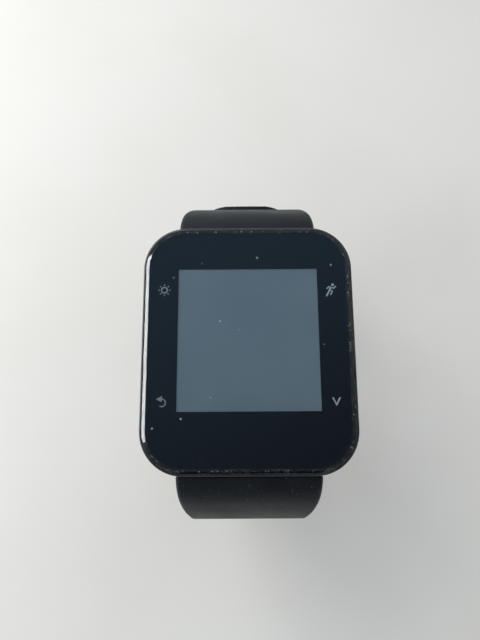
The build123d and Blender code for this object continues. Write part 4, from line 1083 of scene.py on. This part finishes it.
def makeKeepers():
    size = keeperSize
    outside = lowerOuter / mm
    sliding = keeperMesh("slidingKeeper", size["angle"])
    place(crisp(sliding, 50), "silicone", "strap_silicone", "sliding_keeper", ["sliding_keeper"])
    half = math.degrees(size["width"] / 2 / outside)
    start = -90 + math.degrees(math.asin(size["loopStart"] / outside))
    fixed = keeperMesh("fixedKeeper", start + half, True)
    place(crisp(fixed, 50), "silicone", "strap_silicone", "root", ["fixed_keeper"])


makeKeepers()
print("keepers ready")


# buckle

buckleSize = {
    "inner": 9.5, "arm": 1.7, "eye": 1.7, "eyeSteps": 36, "start": 8.4, "depth": 2.8, "height": 1.75,
    "corner": 1.2, "notchHalf": 1.2, "notchReach": 3.0, "notchStart": 1.4, "notchCorner": 0.2,
    "notchTop": 1.2, "notchDrop": 1.0, "edge": 0.35, "seat": 0.5, "seatDepth": 1.0, "seatPast": 0.2,
}
tongueSize = {
    "half": 0.9, "thick": 0.9, "eye": 1.35, "edge": 0.18, "boreGap": 0.05, "boreHalf": 2.0, "drop": 0.1,
    "start": -1.05, "bendStart": -3.3, "bendEnd": -6.3, "tip": -10.2, "tipHeight": 0.6, "bend": 0.5,
    "bendSteps": 6,
}


def touchAngle(point, side):
    # where a line from the point touches the arm's round eye
    away = point[1] - barZ / mm
    spreadAngle = math.acos(buckleSize["eye"] / math.hypot(point[0], away))
    return math.atan2(away, point[0]) + side * spreadAngle


def armOutline():
    # side view of one arm: its eye, then straight to the crossbar
    size = buckleSize
    back = -size["start"] - size["depth"]
    foot, far = (-size["start"], 0.0), (back, size["height"])
    low, high = touchAngle(foot, 1), touchAngle(far, -1)
    turn, steps, outline = (high - low) % (2 * math.pi), size["eyeSteps"], []
    for i in range(steps + 1):
        angle = low + turn * i / steps
        outline.append((size["eye"] * math.cos(angle), barZ / mm + size["eye"] * math.sin(angle)))
    return [(a * mm, b * mm) for a, b in outline + [far, (back, 0.0), foot]]


def makeBuckle():
    size = buckleSize
    inner, outer = size["inner"] * mm, (size["inner"] + size["arm"]) * mm
    outline = armOutline()
    frameShape = prism("buckleFrame", outline, "YZ", inner, outer)
    combined(frameShape, prism("arm", outline, "YZ", -outer, -inner), "UNION")
    middle = -size["start"] * mm
    bar = roundedOutline(outer, size["depth"] * mm, size["corner"] * mm, 8)
    bar = [(x, y + middle) for x, y in bar if y < 0] + [(outer, middle), (-outer, middle)]
    combined(frameShape, prism("crossbar", bar, "XY", 0, size["height"] * mm), "UNION")
    notch = roundedOutline(size["notchHalf"] * mm, size["notchReach"] * mm, size["notchCorner"] * mm, 3)
    shift = (size["notchStart"] - size["start"] - size["depth"]) * mm
    notch = [(x, y + shift) for x, y in notch]
    combined(frameShape, prism("notch", notch, "XY", -size["notchDrop"] * mm, size["notchTop"] * mm))
    bevelled(frameShape, size["edge"] * mm, 35)
    start, end = inner - size["seatPast"] * mm, inner + size["seatDepth"] * mm
    for low, high in ((-end, -start), (start, end)):
        combined(frameShape, rod("seat", 0, barZ, size["seat"] * mm, low, high))
    place(crisp(frameShape, 45), "blackSteel", "buckle_metal", "buckle_frame", ["buckle_frame"])


def makeTongue():
    # flat bar with two soft bends, its eye round the spring bar
    size = tongueSize
    level, half = barZ / mm - size["drop"], size["half"] * mm
    path = [Vector((size["start"], level)), Vector((size["bendStart"], level)),
            Vector((size["bendEnd"], size["tipHeight"])), Vector((size["tip"], size["tipHeight"]))]
    row = [path[0]]
    for before, point, after in zip(path, path[1:], path[2:]):
        a = point + (before - point).normalized() * size["bend"]
        b = point + (after - point).normalized() * size["bend"]
        for step in range(size["bendSteps"] + 1):
            share = step / size["bendSteps"]
            row.append(a * (1 - share) ** 2 + point * 2 * share * (1 - share) + b * share ** 2)
    outline = strokeOutline([tuple(p) for p in row + [path[-1]]], size["thick"])
    tongue = prism("buckleTongue", [(a * mm, b * mm) for a, b in outline], "YZ", -half, half)
    combined(tongue, rod("eye", 0, barZ, size["eye"] * mm, -half, half), "UNION")
    bevelled(tongue, size["edge"] * mm, 50)
    past = size["boreHalf"] * mm
    combined(tongue, rod("bore", 0, barZ, barRadius + size["boreGap"] * mm, -past, past))
    place(crisp(tongue, 45), "blackSteel", "buckle_metal", "buckle_tongue", ["buckle_tongue"])


makeBuckle()
makeTongue()
print("buckle ready")


# rear screws and charging pins

screwSize = {
    "insetX": 5.05, "insetY": 5.15, "recess": 0.3, "head": 1.15, "high": 0.8, "edge": 0.15,
    "foot": (0.04, 0.05), "hex": 0.5, "hexDepth": 0.5, "shank": 0.6, "shankLength": 5.3, "turn": 1.0,
    "seed": 11,
}
pinSize = {
    "radius": 0.7, "round": 0.15, "foot": 0.04, "pitch": 2.6, "count": 4, "row": 12.6, "length": 1.4,
    "steps": 32, "seed": 3,
}


def lathed(name, profile, steps=circleSteps):
    # closed solid of revolution about Z from (radius, height) points
    return loft(name, [[(x * mm, y * mm, z * mm) for x, y in circle(r, steps)] for r, z in profile])


def makeRearScrews():
    size = screwSize
    head, edge, shank = size["head"], size["edge"], size["shank"]
    footIn, footUp = size["foot"]
    profile = [(head - edge, 0.0), (head - footIn, footUp), (head, edge), (head, size["high"]),
               (shank, size["high"]), (shank, size["high"] + size["shankLength"])]
    screw = lathed("rearScrews", profile)
    hexagon = [(x * mm, y * mm) for x, y in circle(size["hex"], 6)]
    depth = size["hexDepth"] * mm
    combined(screw, prism("socket", hexagon, "XY", -depth, depth))
    repeated(screw, screwTree, {
        "Count X": 2, "Count Y": 2, "Size X": caseHigh.x - caseLow.x - 2 * size["insetX"] * mm,
        "Size Y": 2 * (caseEnd - size["insetY"]) * mm, "Turn": size["turn"], "Seed": size["seed"],
        "Middle": (0.0, caseMid, backZ + size["recess"] * mm), "Material": finish["blackSteel"]})
    place(crisp(screw, 35), "blackSteel", "screw_steel", "root", ["rear_screws"])


def makeChargingPins():
    size = pinSize
    radius = size["radius"]
    profile = [(radius - size["round"], 0.0), (radius - size["foot"], size["foot"]), (radius, size["round"]),
               (radius, size["length"])]
    pins = lathed("chargingPins", profile, size["steps"])
    repeated(pins, screwTree, {
        "Count X": size["count"], "Count Y": 1, "Size X": (size["count"] - 1) * size["pitch"] * mm,
        "Size Y": 0.0, "Turn": 0.0, "Seed": size["seed"],
        "Middle": (0.0, caseMid - size["row"] * mm, backZ), "Material": finish["gold"]})
    place(crisp(pins, 35), "gold", "contact_gold", "root", ["charging_pins"])


makeRearScrews()
makeChargingPins()
print("screws and pins ready")
